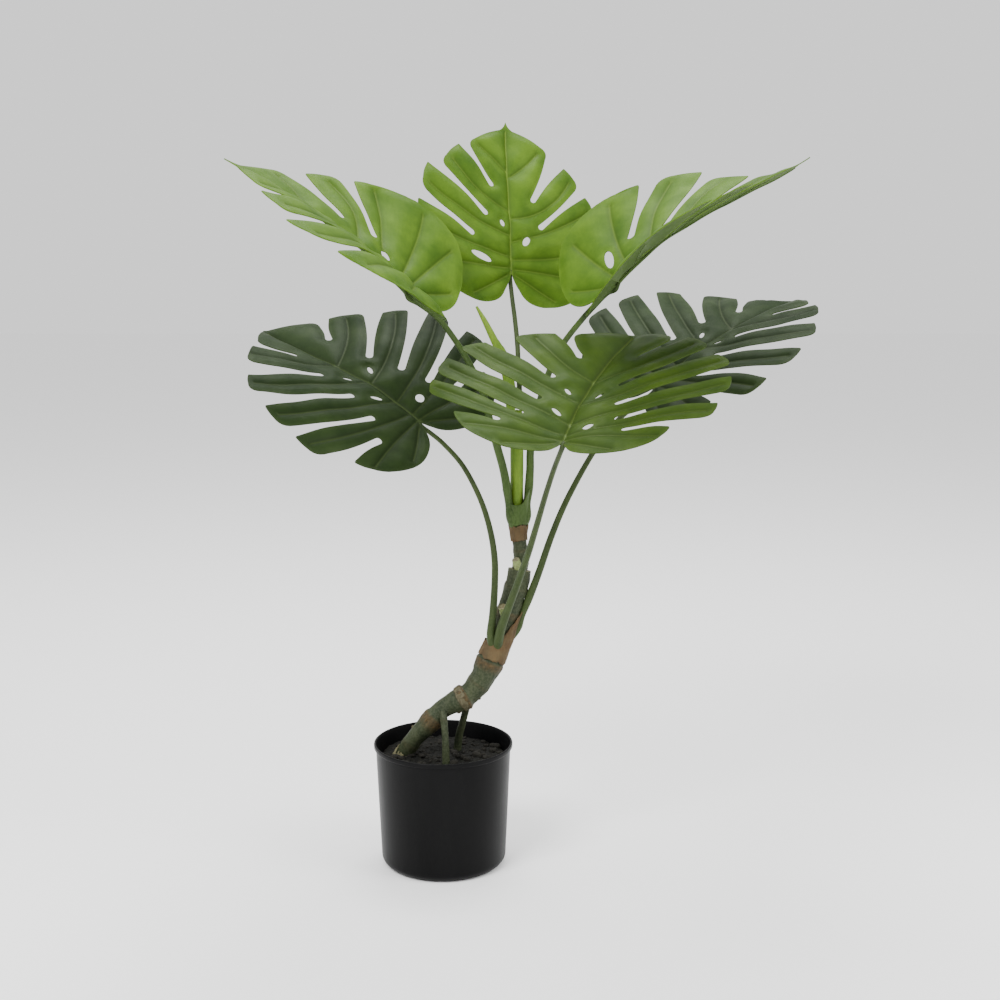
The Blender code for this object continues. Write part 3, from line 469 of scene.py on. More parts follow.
def stem_material(name, colour, shade, speck, roughness, speck_amount=0.35, depth=0.00012):
    """Green stem tissue: long streaks, small specks and a fine lengthwise grain."""
    material, tree, shader = new_material(name, roughness, 0.22)
    shader.inputs["IOR"].default_value = 1.35
    streak = use_group(tree, "mottle", {"First": colour, "Second": shade, "Scale": 90.0, "Edge": 0.2,
                                        "Stretch": (1.0, 1.0, 0.22)})
    specks = use_group(tree, "mottle", {"First": colour, "Second": speck, "Scale": 520.0,
                                        "Edge": 0.06, "Stretch": (1.0, 1.0, 0.6)})
    amount = add_node(tree, "Math", {0: specks["Mask"], 1: speck_amount}, operation="MULTIPLY")
    tree.links.new(mix_colour(tree, amount.outputs[0], streak["Colour"], speck),
                   shader.inputs["Base Color"])
    skin = use_group(tree, "grain", {"Scale": 420.0, "Stretch": (1.0, 1.0, 0.15), "Depth": depth})
    tree.links.new(skin["Normal"], shader.inputs["Normal"])
    return material


def bark_material():
    """The old stem: grey-green skin, brown leaf scars where its piece says so, cracks and specks."""
    material, tree, shader = new_material("bark", 0.55, 0.22)
    shader.inputs["IOR"].default_value = 1.35
    streak = use_group(tree, "mottle", {"First": (0.038, 0.047, 0.022), "Second": (0.014, 0.021, 0.010),
                                        "Scale": 75.0, "Edge": 0.2, "Stretch": (1.0, 1.0, 0.4)})
    specks = use_group(tree, "mottle", {"First": (0, 0, 0), "Second": (1, 1, 1), "Scale": 420.0,
                                        "Edge": 0.07})
    lit = mix_colour(tree, add_node(tree, "Math", {0: specks["Mask"], 1: 0.22},
                                    operation="MULTIPLY").outputs[0], streak["Colour"],
                     (0.100, 0.106, 0.066))
    scar = add_node(tree, "Attribute", attribute_name="scar").outputs["Fac"]
    brown = use_group(tree, "mottle", {"First": (0.095, 0.055, 0.022), "Second": (0.030, 0.020, 0.011),
                                       "Scale": 300.0, "Edge": 0.15})
    tree.links.new(mix_colour(tree, scar, lit, brown["Colour"]), shader.inputs["Base Color"])
    skin = use_group(tree, "grain", {"Scale": 330.0, "Stretch": (1.0, 1.0, 0.35), "Depth": 0.0005})
    tree.links.new(skin["Normal"], shader.inputs["Normal"])
    return material


def husk_material():
    """A dried leaf sheath: papery orange-brown with long dark fibres."""
    material, tree, shader = new_material("husk", 0.78, 0.25)
    fibre = use_group(tree, "mottle", {"First": (0.098, 0.052, 0.018), "Second": (0.028, 0.020, 0.009),
                                       "Scale": 120.0, "Edge": 0.28, "Stretch": (1.0, 1.0, 0.35)})
    pale = use_group(tree, "mottle", {"First": (0, 0, 0), "Second": (1, 1, 1), "Scale": 60.0,
                                      "Edge": 0.12})
    tree.links.new(mix_colour(tree, add_node(tree, "Math", {0: pale["Mask"], 1: 0.35},
                                             operation="MULTIPLY").outputs[0], fibre["Colour"],
                              (0.120, 0.096, 0.044)), shader.inputs["Base Color"])
    skin = use_group(tree, "grain", {"Scale": 500.0, "Stretch": (1.0, 1.0, 0.2), "Depth": 0.0004})
    tree.links.new(skin["Normal"], shader.inputs["Normal"])
    return material


def soil_material(name, colour, shade, chip):
    """Dark damp potting mix."""
    material, tree, shader = new_material(name, 0.92, 0.2)
    clods = use_group(tree, "mottle", {"First": colour, "Second": shade, "Scale": 180.0, "Edge": 0.15})
    bits = use_group(tree, "mottle", {"First": (0, 0, 0), "Second": (1, 1, 1), "Scale": 700.0,
                                      "Edge": 0.08})
    tree.links.new(mix_colour(tree, add_node(tree, "Math", {0: bits["Mask"], 1: 0.5},
                                             operation="MULTIPLY").outputs[0], clods["Colour"], chip),
                   shader.inputs["Base Color"])
    crumb = use_group(tree, "grain", {"Scale": 900.0, "Depth": 0.0010})
    tree.links.new(crumb["Normal"], shader.inputs["Normal"])
    return material


def pot_material():
    """Satin black moulded plastic with faint upright flow lines, and paler upright streaks that are partly a
    dusty film and partly painted sheen.
    """
    material, tree, shader = new_material("pot_plastic", 0.36, 0.14)
    shader.inputs["IOR"].default_value = 1.35
    # paler upright streaks, partly a dusty film and partly painted sheen; the same mask varies the gloss
    dust_and_sheen = use_group(tree, "mottle", {"First": (0.0022, 0.0022, 0.0023), "Second": (0.0042, 0.0042, 0.0043),
                                      "Scale": 35.0, "Edge": 0.25, "Stretch": (1.0, 1.0, 0.3)})
    tree.links.new(dust_and_sheen["Colour"], shader.inputs["Base Color"])
    lines = use_group(tree, "grain", {"Scale": 260.0, "Stretch": (1.0, 1.0, 0.03), "Depth": 0.00008})
    fine = use_group(tree, "grain", {"Scale": 2400.0, "Depth": 0.00003, "Normal": lines["Normal"]})
    tree.links.new(fine["Normal"], shader.inputs["Normal"])
    gloss = add_node(tree, "MapRange", {"Value": dust_and_sheen["Mask"], "To Min": 0.33, "To Max": 0.43})
    tree.links.new(gloss.outputs["Result"], shader.inputs["Roughness"])
    return material


def make_materials():
    """Every finish on the plant and its pot."""
    GROUPS.update(mottle=mottle_group(), grain=grain_group(), veins=vein_group())
    under = underside_material("leaf_underside", (0.070, 0.115, 0.026), (0.045, 0.085, 0.018),
                               (0.120, 0.165, 0.050))
    dark_under = underside_material("dark_underside", (0.040, 0.064, 0.022), (0.026, 0.046, 0.016),
                                    (0.080, 0.110, 0.040))
    return {
        "light_leaf": (leaf_material("light_leaf", (0.082, 0.156, 0.011), (0.034, 0.080, 0.006),
                                     (0.150, 0.230, 0.030), 0.50, 0.15), under),
        "mid_leaf": (leaf_material("mid_leaf", (0.042, 0.074, 0.008), (0.019, 0.040, 0.0055),
                                   (0.095, 0.140, 0.027), 0.48, 0.14), under),
        "dark_leaf": (leaf_material("dark_leaf", (0.024, 0.041, 0.0115), (0.011, 0.022, 0.0065),
                                    (0.070, 0.098, 0.032), 0.48, 0.12), dark_under),
        "stalk": stem_material("stalk", (0.040, 0.060, 0.017), (0.019, 0.031, 0.009),
                               (0.062, 0.080, 0.030), 0.48, 0.2),
        "young": stem_material("young", (0.150, 0.240, 0.026), (0.080, 0.150, 0.016),
                               (0.045, 0.075, 0.012), 0.45, 0.15),
        "sheath": stem_material("sheath", (0.052, 0.090, 0.019), (0.024, 0.045, 0.011),
                                (0.090, 0.120, 0.045), 0.5, 0.2),
        "stub": stem_material("stub", (0.230, 0.275, 0.110), (0.140, 0.185, 0.060),
                              (0.090, 0.085, 0.035), 0.6, 0.3),
        "cut": stem_material("cut", (0.220, 0.215, 0.130), (0.120, 0.110, 0.055),
                             (0.060, 0.045, 0.022), 0.75, 0.5, 0.0004),
        "dry": stem_material("dry_bark", (0.082, 0.072, 0.040), (0.030, 0.028, 0.015),
                             (0.130, 0.115, 0.070), 0.7, 0.4, 0.0005),
        "bark": bark_material(),
        "husk": husk_material(),
        "soil": soil_material("soil", (0.0055, 0.0058, 0.0045), (0.0025, 0.0025, 0.0022),
                              (0.015, 0.0145, 0.011)),
        "chips": soil_material("chips", (0.012, 0.0112, 0.0085), (0.0045, 0.0042, 0.0034),
                               (0.024, 0.022, 0.016)),
        "pot": pot_material(),
    }


# --- Blades ------------------------------------------------------------------------------------
CURVE_STEPS = 6                # facets on each rounded corner and slit end
EDGE_STEP = 0.016              # spacing of points along a blade's edge and veins
FILL_SPACING = 0.024
VEIN_ROWS = (0.007, 0.018)     # rows of points either side of a vein
EDGE_ROWS = (0.008, 0.020)     # rows of points inside the blade's edge
VEIN_WIDTH = 0.0095            # of the crease, and of the pale line along it
VEIN_LINE = 0.0045
CREASE_SHADE_WIDTH = 0.016           # of the band of painted shade along a sunken vein
SIDE_VEIN_TINT = 0.5           # a side vein's paleness beside the midrib's
VEIN_DEPTH = 0.0014            # metres that a vein sinks into the blade's upper side
EDGE_RIPPLE = 0.0024           # metres that the blade waves out of its even curve
PANEL_RISE = 0.0036            # metres that the blade swells between its veins
EDGE_BOW = 0.045               # how far a straight edge bows outwards, as a share of its length
MOST_BOW = 0.010
TIP_BOW = -0.09                # the drawn-out tip's sides curve inwards
RELIEF_SHARES = {"upper_right": 0.7}   # a leaf that is pulled flatter than the others


def slit_end(before, end, after, radius):
    """The rounded inner end of a cut whose mouth lies between two corners."""
    mouth = (before + after) / 2
    axis = (mouth - end).normalized()
    side = Vector((-axis.y, axis.x))
    if side.dot(before - mouth) < 0:
        side = -side
    centre = end + axis * radius
    angles = [math.pi * step / CURVE_STEPS for step in range(CURVE_STEPS + 1)]
    return [centre + radius * (side * math.cos(angle) - axis * math.sin(angle)) for angle in angles]


def round_corner(before, corner, after, radius):
    """Replace a corner by a short curve that touches both of its edges."""
    back, ahead = before - corner, after - corner
    start = corner + back.normalized() * min(radius, 0.48 * back.length)
    end = corner + ahead.normalized() * min(radius, 0.48 * ahead.length)
    shares = [step / CURVE_STEPS for step in range(CURVE_STEPS + 1)]
    return [start * (1 - t) ** 2 + corner * 2 * t * (1 - t) + end * t ** 2 for t in shares]


def half_outline(half, side):
    """One half of the outline from the tip's shoulder to the notch, as 2D points."""
    shoulder = Vector((side * TIP_SHOULDER[0], TIP_SHOULDER[1]))
    places = [shoulder] + [Vector((side * item[1], item[2])) for item in half] + [Vector((0.0, 0.0))]
    marked = [(None, [shoulder])]
    for index, item in enumerate(half, start=1):
        if item[0] == SLIT:
            bend = slit_end(places[index - 1], places[index], places[index + 1], SLIT_RADIUS)
            marked.append((None, bend))
        else:
            marked.append((item[3], [places[index]]))
    marked.append((None, [places[-1]]))
    outline = [shoulder]
    for before, here, after in zip(marked, marked[1:], marked[2:]):
        if here[0] is None:
            outline += here[1]
        else:
            outline += round_corner(before[1][-1], here[1][0], after[1][0], here[0])
    return outline


def bow_edges(outline):
    """Turn a clockwise outline's long straight edges into shallow outward curves."""
    result = []
    for start, end in zip(outline, outline[1:] + outline[:1]):
        result.append(start)
        length = (end - start).length
        count = int(length / EDGE_STEP)
        if count < 2:
            continue
        along = (end - start) / length
        outward = Vector((-along.y, along.x))
        at_tip = max(start.y, end.y) > 0.999
        bow = TIP_BOW * length if at_tip else min(EDGE_BOW * length, MOST_BOW)
        for step in range(1, count):
            t = step / count
            result.append(start + along * (length * t) + outward * (bow * math.sin(math.pi * t)))
    return result


def hole_outline(hole):
    """A small oval hole."""
    across, along, half_width, half_length, turn = hole
    spin = Matrix.Rotation(math.radians(turn), 2)
    count = 16
    angles = [2 * math.pi * step / count for step in range(count)]
    return [Vector((across, along)) + spin @ Vector((half_width * math.cos(angle),
                                                     half_length * math.sin(angle)))
            for angle in angles]


def inside(point, loop):
    """True when a 2D point lies inside a closed loop."""
    result = False
    for a, b in zip(loop, loop[1:] + loop[:1]):
        if (a.y > point.y) != (b.y > point.y):
            if point.x < a.x + (point.y - a.y) * (b.x - a.x) / (b.y - a.y):
                result = not result
    return result


def vein_lines(pattern):
    """The midrib and the main side veins as lists of 2D points."""
    lines = [[Vector((0.0, 0.97 * step / 60)) for step in range(61)]]
    for side, (start, middle, end) in pattern.veins:
        first, last = Vector((0.0, start)), Vector((side * end[0], end[1]))
        passing = Vector((side * middle[0], middle[1]))
        share = (passing - first).length / ((passing - first).length + (last - passing).length)
        handle = (passing - first * (1 - share) ** 2 - last * share ** 2) / (2 * share * (1 - share))
        count = max(6, int((last - first).length / EDGE_STEP))
        lines.append([first * (1 - t) ** 2 + handle * 2 * t * (1 - t) + last * t ** 2
                      for t in (step / count for step in range(count + 1))])
    return lines


def tree_of(points):
    """A search tree over 2D points."""
    tree = kdtree.KDTree(len(points))
    for index, point in enumerate(points):
        tree.insert((point.x, point.y, 0.0), index)
    tree.balance()
    return tree


def dense(line, step):
    """Points close together along a line."""
    result = []
    for start, end in zip(line, line[1:]):
        count = max(1, int((end - start).length / step))
        result += [start.lerp(end, index / count) for index in range(count)]
    return result + [line[-1]]


def thin_out(points, gap):
    """Drop each point that lies closer than a gap to one kept before it."""
    tree = tree_of(points)
    dropped = set()
    for index, point in enumerate(points):
        if index not in dropped:
            found = tree.find_range((point.x, point.y, 0.0), gap)
            dropped.update(other for _, other, _ in found if other > index)
    return [point for index, point in enumerate(points) if index not in dropped]


FlatBlade = namedtuple("FlatBlade", "points faces border veins to_midrib to_vein to_edge")


def flat_blade(pattern):
    """A fine triangle mesh over a flat blade, with rows of points along its veins."""
    tip = Vector((0.0, pattern.tip))
    outline = [tip] + half_outline(pattern.right, 1) + [Vector((0.0, 0.0))]
    outline = bow_edges(outline + half_outline(pattern.left, -1)[::-1])
    loops = [outline] + [hole_outline(hole) for hole in pattern.holes]
    points, edges = [], []
    for loop in loops:
        first = len(points)
        points += loop
        edges += [(first + i, first + (i + 1) % len(loop)) for i in range(len(loop))]
    border = [point for loop in loops for point in dense(loop + loop[:1], 0.004)]
    to_edge = tree_of(border)
    veins = vein_lines(pattern)
    to_midrib = tree_of(dense(veins[0], 0.003))
    to_vein = tree_of([point for line in veins for point in dense(line, 0.003)])

    def usable(place, gap):
        if to_edge.find((place.x, place.y, 0.0))[2] < gap:
            return False
        return inside(place, loops[0]) and not any(inside(place, loop) for loop in loops[1:])

    kept = []
    for loop in loops:
        for before, here, after in zip(loop[-1:] + loop[:-1], loop, loop[1:] + loop[:1]):
            direction = (after - before).normalized()
            inward = Vector((direction.y, -direction.x))
            kept += [here + inward * row for row in EDGE_ROWS]
    for line in veins:
        for before, here, after in zip(line, line[1:] + line[-1:], line[2:] + line[-1:] * 2):
            direction = (after - before).normalized()
            side = Vector((-direction.y, direction.x))
            for shift in (0.0,) + VEIN_ROWS + tuple(-row for row in VEIN_ROWS):
                kept.append(here + side * shift)
    near = []
    for place in kept:
        if all((place - other).length > 0.0045 for other in near[-24:]) and usable(place, 0.006):
            near.append(place)
    near = thin_out(near, 0.0055)
    points += near
    busy = tree_of(near)
    row_height = FILL_SPACING * math.sqrt(3) / 2
    for row in range(int(1.3 / row_height)):
        for column in range(-32, 33):
            place = Vector(((column + 0.5 * (row % 2)) * FILL_SPACING, -0.25 + row * row_height))
            if busy.find((place.x, place.y, 0.0))[2] > 0.5 * FILL_SPACING:
                if usable(place, 0.4 * FILL_SPACING):
                    points.append(place)
    flat, _, faces, _, _, _ = delaunay_2d_cdt(points, edges, [], 1, 1e-5)
    wanted = []
    for face in faces:
        a, b, c = (flat[i] for i in face)
        middle = (a + b + c) / 3
        if inside(middle, loops[0]) and not any(inside(middle, loop) for loop in loops[1:]):
            turned = (b - a).x * (c - a).y - (b - a).y * (c - a).x
            wanted.append(face if turned > 0 else face[::-1])
    walked = {(face[i], face[(i + 1) % 3]) for face in wanted for i in range(3)}
    rim = [(a, b) for a, b in walked if (b, a) not in walked]
    ribs = []
    for line in veins:
        pierced = [index for index, (here, after) in enumerate(zip(line, line[1:]))
                   if any(inside(place, loop) for loop in loops[1:]
                          for place in (here, (here + after) / 2, after))]
        ribs.append(line[:pierced[0] + 1] if pierced else line)
    return FlatBlade(flat, wanted, sorted(rim), [line for line in ribs if len(line) > 3],
                     to_midrib, to_vein, to_edge)


def blade_axes(leaf):
    """Along, right and upper directions of a blade at its notch."""
    heading, pitch, roll = (math.radians(value) for value in (leaf.heading, leaf.pitch, leaf.roll))
    along = Vector((math.cos(pitch) * math.cos(heading), math.cos(pitch) * math.sin(heading),
                    math.sin(pitch)))
    upper = (Vector((0, 0, 1)) - along * along.z).normalized()
    level = along.cross(upper)
    upper = upper * math.cos(roll) + level * math.sin(roll)
    return along, along.cross(upper), upper


def bent(leaf, x, y, height):
    """Where a flat point ends up: bent down along the midrib and across it, then raised."""
    along, right, upper = blade_axes(leaf)
    arch, curl = math.radians(leaf.arch), math.radians(leaf.curl)
    ahead = max(y, 0.0)
    forward = drop = 0.0
    for step in range(BEND_STEPS):
        t = ahead * (step + 0.5) / BEND_STEPS
        angle = arch * t + curl * t ** 3
        forward += math.cos(angle) / BEND_STEPS
        drop += math.sin(angle) / BEND_STEPS
    angle = arch * ahead + curl * ahead ** 3
    upward = upper * math.cos(angle) + along * math.sin(angle)
    side = 0 if x > 0 else 1
    lift = math.radians(leaf.lift[side] + leaf.turn[side] * ahead)
    droop = math.radians(leaf.droop[side]) or 1e-6
    slope = lift - droop * abs(x)
    outward = (math.sin(lift) - math.sin(slope)) / droop
    rise = (math.cos(slope) - math.cos(lift)) / droop
    shift = leaf.sweep * ahead ** 2 + math.copysign(outward, x)
    normal = upward * math.cos(slope) - right * math.copysign(math.sin(slope), x)
    if abs(x) < 1e-6:
        normal = upward
    return (Vector(leaf.notch) + leaf.length * (along * y * forward - upper * y * drop
                                                + right * shift + upward * rise) + normal * height)


def relief(blade, x, y):
    """How far the blade's surface stands above its flat form, and how near a vein and the rim are."""
    to_vein = blade.to_vein.find((x, y, 0.0))[2]
    to_edge = blade.to_edge.find((x, y, 0.0))[2]
    vein = math.exp(-(to_vein / VEIN_WIDTH) ** 2)
    panel = (1 - math.exp(-(to_vein / 0.055) ** 2)) * ease(to_edge / 0.05)
    ripple = noise.noise(Vector((5 * x, 5 * y, 0.0))) * ease((1.0 - y) / 0.25)
    height = PANEL_RISE * panel - VEIN_DEPTH * vein + EDGE_RIPPLE * ripple
    to_midrib = blade.to_midrib.find((x, y, 0.0))[2]
    tint = SIDE_VEIN_TINT * math.exp(-(to_vein / VEIN_LINE) ** 2)
    tint = max(tint, math.exp(-(to_midrib / VEIN_LINE) ** 2))
    # painted shade: how strongly the colour is darkened near a vein
    crease = math.exp(-(to_vein / CREASE_SHADE_WIDTH) ** 2)
    return height * ease((1.02 - y) / 0.08), (tint, 1 - ease(to_edge / 0.012), crease)


def make_blade(leaf, blade, materials):
    """One leaf blade: upper side, paler underside, and ribs beneath it."""
    upper_side, underside = materials[leaf.colour]
    low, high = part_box("blade_" + leaf.name)
    top, bottom, marks = [], [], []
    for place in blade.points:
        height, tints = relief(blade, place.x, place.y)
        height *= RELIEF_SHARES.get(leaf.name, 1.0)
        middle = bent(leaf, place.x, place.y, height)
        half = bent(leaf, place.x, place.y, height + BLADE_THICKNESS / 2) - middle
        middle = Vector(min(max(value, least + BLADE_THICKNESS / 2), most - BLADE_THICKNESS / 2)
                        for value, least, most in zip(middle, low, high))
        top.append(middle + half)
        bottom.append(middle - half)
        marks.append(tints + (place.y - 0.62 * abs(place.x) + 0.25 * place.x ** 2,))
    count = len(top)
    faces = list(blade.faces) + [tuple(i + count for i in face[::-1]) for face in blade.faces]
    faces += [(b, a, a + count, b + count) for a, b in blade.border]
    indices = [0] * len(blade.faces) + [1] * len(blade.faces) + [0] * len(blade.border)
    piece = new_piece("leaf_" + leaf.name, top + bottom, faces, [upper_side, underside],
                      leaf.colour, ["blade_" + leaf.name], indices)
    piece.data.set_sharp_from_angle(angle=math.radians(60))
    # crease carries the painted shade along the veins into the blade's colour
    for index, label in enumerate(("vein", "rim", "crease", "stripe")):
        attribute = piece.data.attributes.new(label, "FLOAT", "POINT")
        attribute.data.foreach_set("value", [mark[index] for mark in marks] * 2)
    make_ribs(leaf, blade, underside)


def make_ribs(leaf, blade, underside):
    """The midrib and side veins that stand out under a blade, as tapering half-sunk cords."""
    points, faces = [], []
    for index, line in enumerate(blade.veins):
        thick, thin = (0.0021, 0.0004) if index == 0 else (0.0008, 0.0003)
        route = []
        last = len(line) - 1
        for step, place in enumerate(line):
            radius = thick + (thin - thick) * (step / last) ** 0.6
            depth = relief(blade, place.x, place.y)[0] * RELIEF_SHARES.get(leaf.name, 1.0)
            depth -= BLADE_THICKNESS / 2 + 0.35 * radius
            route.append((*bent(leaf, place.x, place.y, depth), radius))
        add_tube(points, faces, [Vector(item) for item in route], 8)
    new_piece("ribs_" + leaf.name, points, faces, [underside], leaf.colour)


# --- Stems -------------------------------------------------------------------------------------
def route_frames(route):
    """A place and two cross directions at each point of a route; the first direction faces front."""
    frames = []
    side = Vector((0.0, -1.0, 0.0))
    for index, point in enumerate(route):
        before = route[max(index - 1, 0)]
        after = route[min(index + 1, len(route) - 1)]
        along = (after - before).to_3d().normalized()
        side = (side - along * side.dot(along)).normalized()
        frames.append((point.to_3d(), side, along.cross(side)))
    return frames


def add_tube(points, faces, route, sides, shape=None):
    """A closed tube along a route; shape(share, angle) gives the radius as a factor of the route's."""
    first = len(points)
    last = len(route) - 1
    for index, (centre, front, side) in enumerate(route_frames(route)):
        for step in range(sides):
            angle = 2 * math.pi * step / sides
            radius = route[index][3] * (shape(index / last, angle) if shape else 1.0)
            points.append(centre + (front * math.cos(angle) + side * math.sin(angle)) * radius)
    for ring in range(last):
        for step in range(sides):
            a = first + ring * sides + step
            b = first + ring * sides + (step + 1) % sides
            faces.append((a, b, b + sides, a + sides))
    for ring, order in ((0, -1), (last, 1)):
        centre = sum((points[first + ring * sides + i] for i in range(sides)), Vector()) / sides
        points.append(centre)
        for step in range(sides):
            a = first + ring * sides + step
            b = first + ring * sides + (step + 1) % sides
            faces.append((a, b, len(points) - 1)[::order])
    return first


def make_stem(name, route, steps, sides, materials, slot, nodes, shape=None, scar=None, cut_ends=()):
    """A stem lofted along a route. scar(share) browns its skin; cut_ends names its pale ends."""
    fine = smooth_route(route, steps)
    points, faces = [], []
    add_tube(points, faces, fine, sides, shape)
    indices = [0] * len(faces)
    for end in cut_ends:
        start = len(faces) - 2 * sides if end == "first" else len(faces) - sides
        indices[start:start + sides] = [1] * sides
    piece = new_piece(name, points, faces, materials, slot, nodes, indices)
    piece.data.set_sharp_from_angle(angle=math.radians(50))
    if scar:
        values = [scar(index // sides / (len(fine) - 1)) for index in range(len(points))]
        attribute = piece.data.attributes.new("scar", "FLOAT", "POINT")
        attribute.data.foreach_set("value", values)
    return piece


# Where the rolled leaf leaves the crown, below its solid's first point.
NEW_LEAF_BASE = ((0.0785, 0.0235, 0.4380, 0.0030), (0.0760, 0.0218, 0.4550, 0.0040))
# Leaf scars round the old stem: place in the route's own points, width, swell.
TRUNK_SCARS = ((1.7, 0.45, 0.06), (3.3, 0.60, 0.13), (5.4, 0.55, 0.15), (6.7, 0.40, 0.06),
               (8.1, 0.55, 0.12), (9.6, 0.40, 0.07), (11.3, 0.45, 0.09), (12.7, 0.40, 0.06))
UPPER_SCARS = ((0.7, 0.40, 0.08), (1.9, 0.40, 0.07), (3.2, 0.45, 0.10), (4.4, 0.30, 0.05))
COLLAR_DROP = 0.28             # a scar's upper slope is this much as long as its lower one


def scarred(scars, spans, rough):
    """A shape and a scar function for a stem with swollen rings and an uneven skin."""
    def swell(share):
        total = 0.0
        for where, width, size in scars:
            away = share * spans - where
            total += size * math.exp(-(away / (width * (COLLAR_DROP if away > 0 else 1.0))) ** 2)
        return total

    def shape(share, angle):
        lumpy = noise.noise(Vector((2.2 * math.cos(angle), 2.2 * math.sin(angle), 40 * share)))
        ridges = noise.noise(Vector((5 * math.cos(angle), 5 * math.sin(angle), 12 * share)))
        return 0.95 + swell(share) * (1 + 0.6 * ridges) + rough * (lumpy + 0.5 * ridges)

    def scar(share):
        return min(0.65, max(0.0, swell(share) - 0.045) * 9.0)
    return shape, scar


def stalk_route(leaf):
    """A stalk's route with its last point set just under the blade's notch."""
    along, _, upper = blade_axes(leaf)
    end = Vector(leaf.notch) - along * STALK_BACK - upper * STALK_UNDER
    inner = Vector(leaf.notch) + along * 0.004 - upper * 0.0022
    base = STALK_BASES.get(leaf.name, ())
    return base + STALK_ROUTES[leaf.name] + ((*end, STALK_END_RADIUS), (*inner, 0.0019))


def stalk_shape(share, angle):
    """Fuller at the sheathed base, a knee below the blade, and a shallow channel in front."""
    knee = 0.22 * math.exp(-((share - 0.93) / 0.035) ** 2)
    base = 0.12 * math.exp(-(share / 0.10) ** 2)
    channel = 0.10 * math.exp(-((angle - math.pi) / 0.5) ** 2)
    return 1.0 + knee + base - channel


def rolled_shape(share, angle):
    """A rolled leaf: the outer turn overlaps in a seam that winds up the spike."""
    turn = (angle / (2 * math.pi) + 0.9 * share + 0.15) % 1.0
    return 0.90 + 0.20 * turn


def make_wrap(name, route, first, last, lower, upper, radius, spread, material, slot, nodes,
              start=0.0, sweep=360.0, thickness=0.0008, wrinkle=0.06):
    """A sheath wrapped round part of a route. lower and upper give its edges at each angle, as
    shares of the stretch; radius is its clearance, and spread flares its upper edge."""
    fine = smooth_route(route, 12)
    stretch = fine[round(first * 12):round(last * 12) + 1]
    frames = route_frames(fine)[round(first * 12):round(last * 12) + 1]
    columns, rows = 64, 14
    points, faces = [], []
    closed = sweep >= 360.0
    across = columns if closed else columns + 1
    for row in range(rows + 1):
        for column in range(across):
            angle = math.radians(start + sweep * column / columns)
            low, high = lower(angle), upper(angle)
            share = low + (high - low) * row / rows
            place = share * (len(stretch) - 1)
            index = min(max(int(place), 0), len(stretch) - 2)
            part = place - index
            centre = frames[index][0].lerp(frames[index + 1][0], part)
            size = stretch[index][3] * (1 - part) + stretch[index + 1][3] * part
            crease = noise.noise(Vector((9 * math.cos(angle), 9 * math.sin(angle), 2.0 * share)))
            size = (size + radius) * (1 + wrinkle * crease) + spread * max(share, 0.0) ** 2
            _, front, side = frames[index]
            points.append(centre + (front * math.cos(angle) + side * math.sin(angle)) * size)
    for row in range(rows):
        for column in range(columns):
            a = row * across + column
            b = row * across + (column + 1) % across
            faces.append((a, b, b + across, a + across))
    piece = new_piece(name, points, faces, [material], slot, nodes)
    return thicken(piece, thickness)


def ragged(base, amount, speed, seed):
    """An uneven edge: a level with torn points in it."""
    def edge(angle):
        tear = noise.noise(Vector((speed * math.cos(angle), speed * math.sin(angle), seed)))
        fine = noise.noise(Vector((4 * speed * math.cos(angle), 4 * speed * math.sin(angle), seed)))
        return base + amount * (tear + 0.5 * fine)
    return edge


def make_plant(materials):
    """Trunk, stems, husks, stalks, roots and stubs."""
    bark, cut = materials["bark"], materials["cut"]
    trunk_shape, trunk_scar = scarred(TRUNK_SCARS, len(TRUNK_ROUTE) - 1, 0.045)
    make_stem("old_stem", TRUNK_ROUTE, 12, 40, [bark, cut], "bark", ["trunk"], trunk_shape,
              trunk_scar, ("last",))
    make_nubs(materials["dry"])
    upper_shape, upper_scar = scarred(UPPER_SCARS, len(UPPER_STEM_ROUTE) - 1, 0.035)
    make_stem("thin_stem", UPPER_STEM_ROUTE, 10, 32, [bark, cut], "bark", ["upper_stem"],
              upper_shape, upper_scar)
    make_stem("crown_sheath", CROWN_ROUTE, 10, 36, [materials["young"]], "young", ["crown"],
              rolled_shape)
    make_stem("rolled_leaf", NEW_LEAF_BASE + NEW_LEAF_ROUTE, 8, 32, [materials["young"]], "young", ["new_leaf"],
              rolled_shape)
    for name, route in ROOT_ROUTES.items():
        root_shape, root_scar = scarred(((0.9, 0.3, 0.06), (2.4, 0.2, 0.05)), len(route) - 1, 0.07)
        make_stem("air_root_" + name, route, 8, 20, [bark], "bark", ["root_" + name], root_shape,
                  root_scar)
    for name, route in STUB_ROUTES.items():
        make_stem("cut_stub_" + name, route, 6, 20, [materials["stub"], cut], "young",
                  ["stub_" + name], None, None, ("last",))
    for leaf in LEAVES:
        skin = materials["sheath" if leaf.name.startswith("upper") else "stalk"]
        make_stem("leaf_stalk_" + leaf.name, stalk_route(leaf), 6, 20, [skin], "stem",
                  ["stalk_" + leaf.name], stalk_shape)
    make_husks(materials)


# Old root and leaf-base nubs on the stem: place in its own points, angle from the front, size.
NUBS = ((4.6, 95, 0.0036), (5.6, 120, 0.0030), (6.1, 60, 0.0022), (7.4, 100, 0.0024),
        (8.9, 100, 0.0034), (9.3, -80, 0.0024), (10.6, 85, 0.0030), (12.0, 95, 0.0026),
        (3.2, -70, 0.0026), (2.3, -100, 0.0022), (12.9, -85, 0.0022))


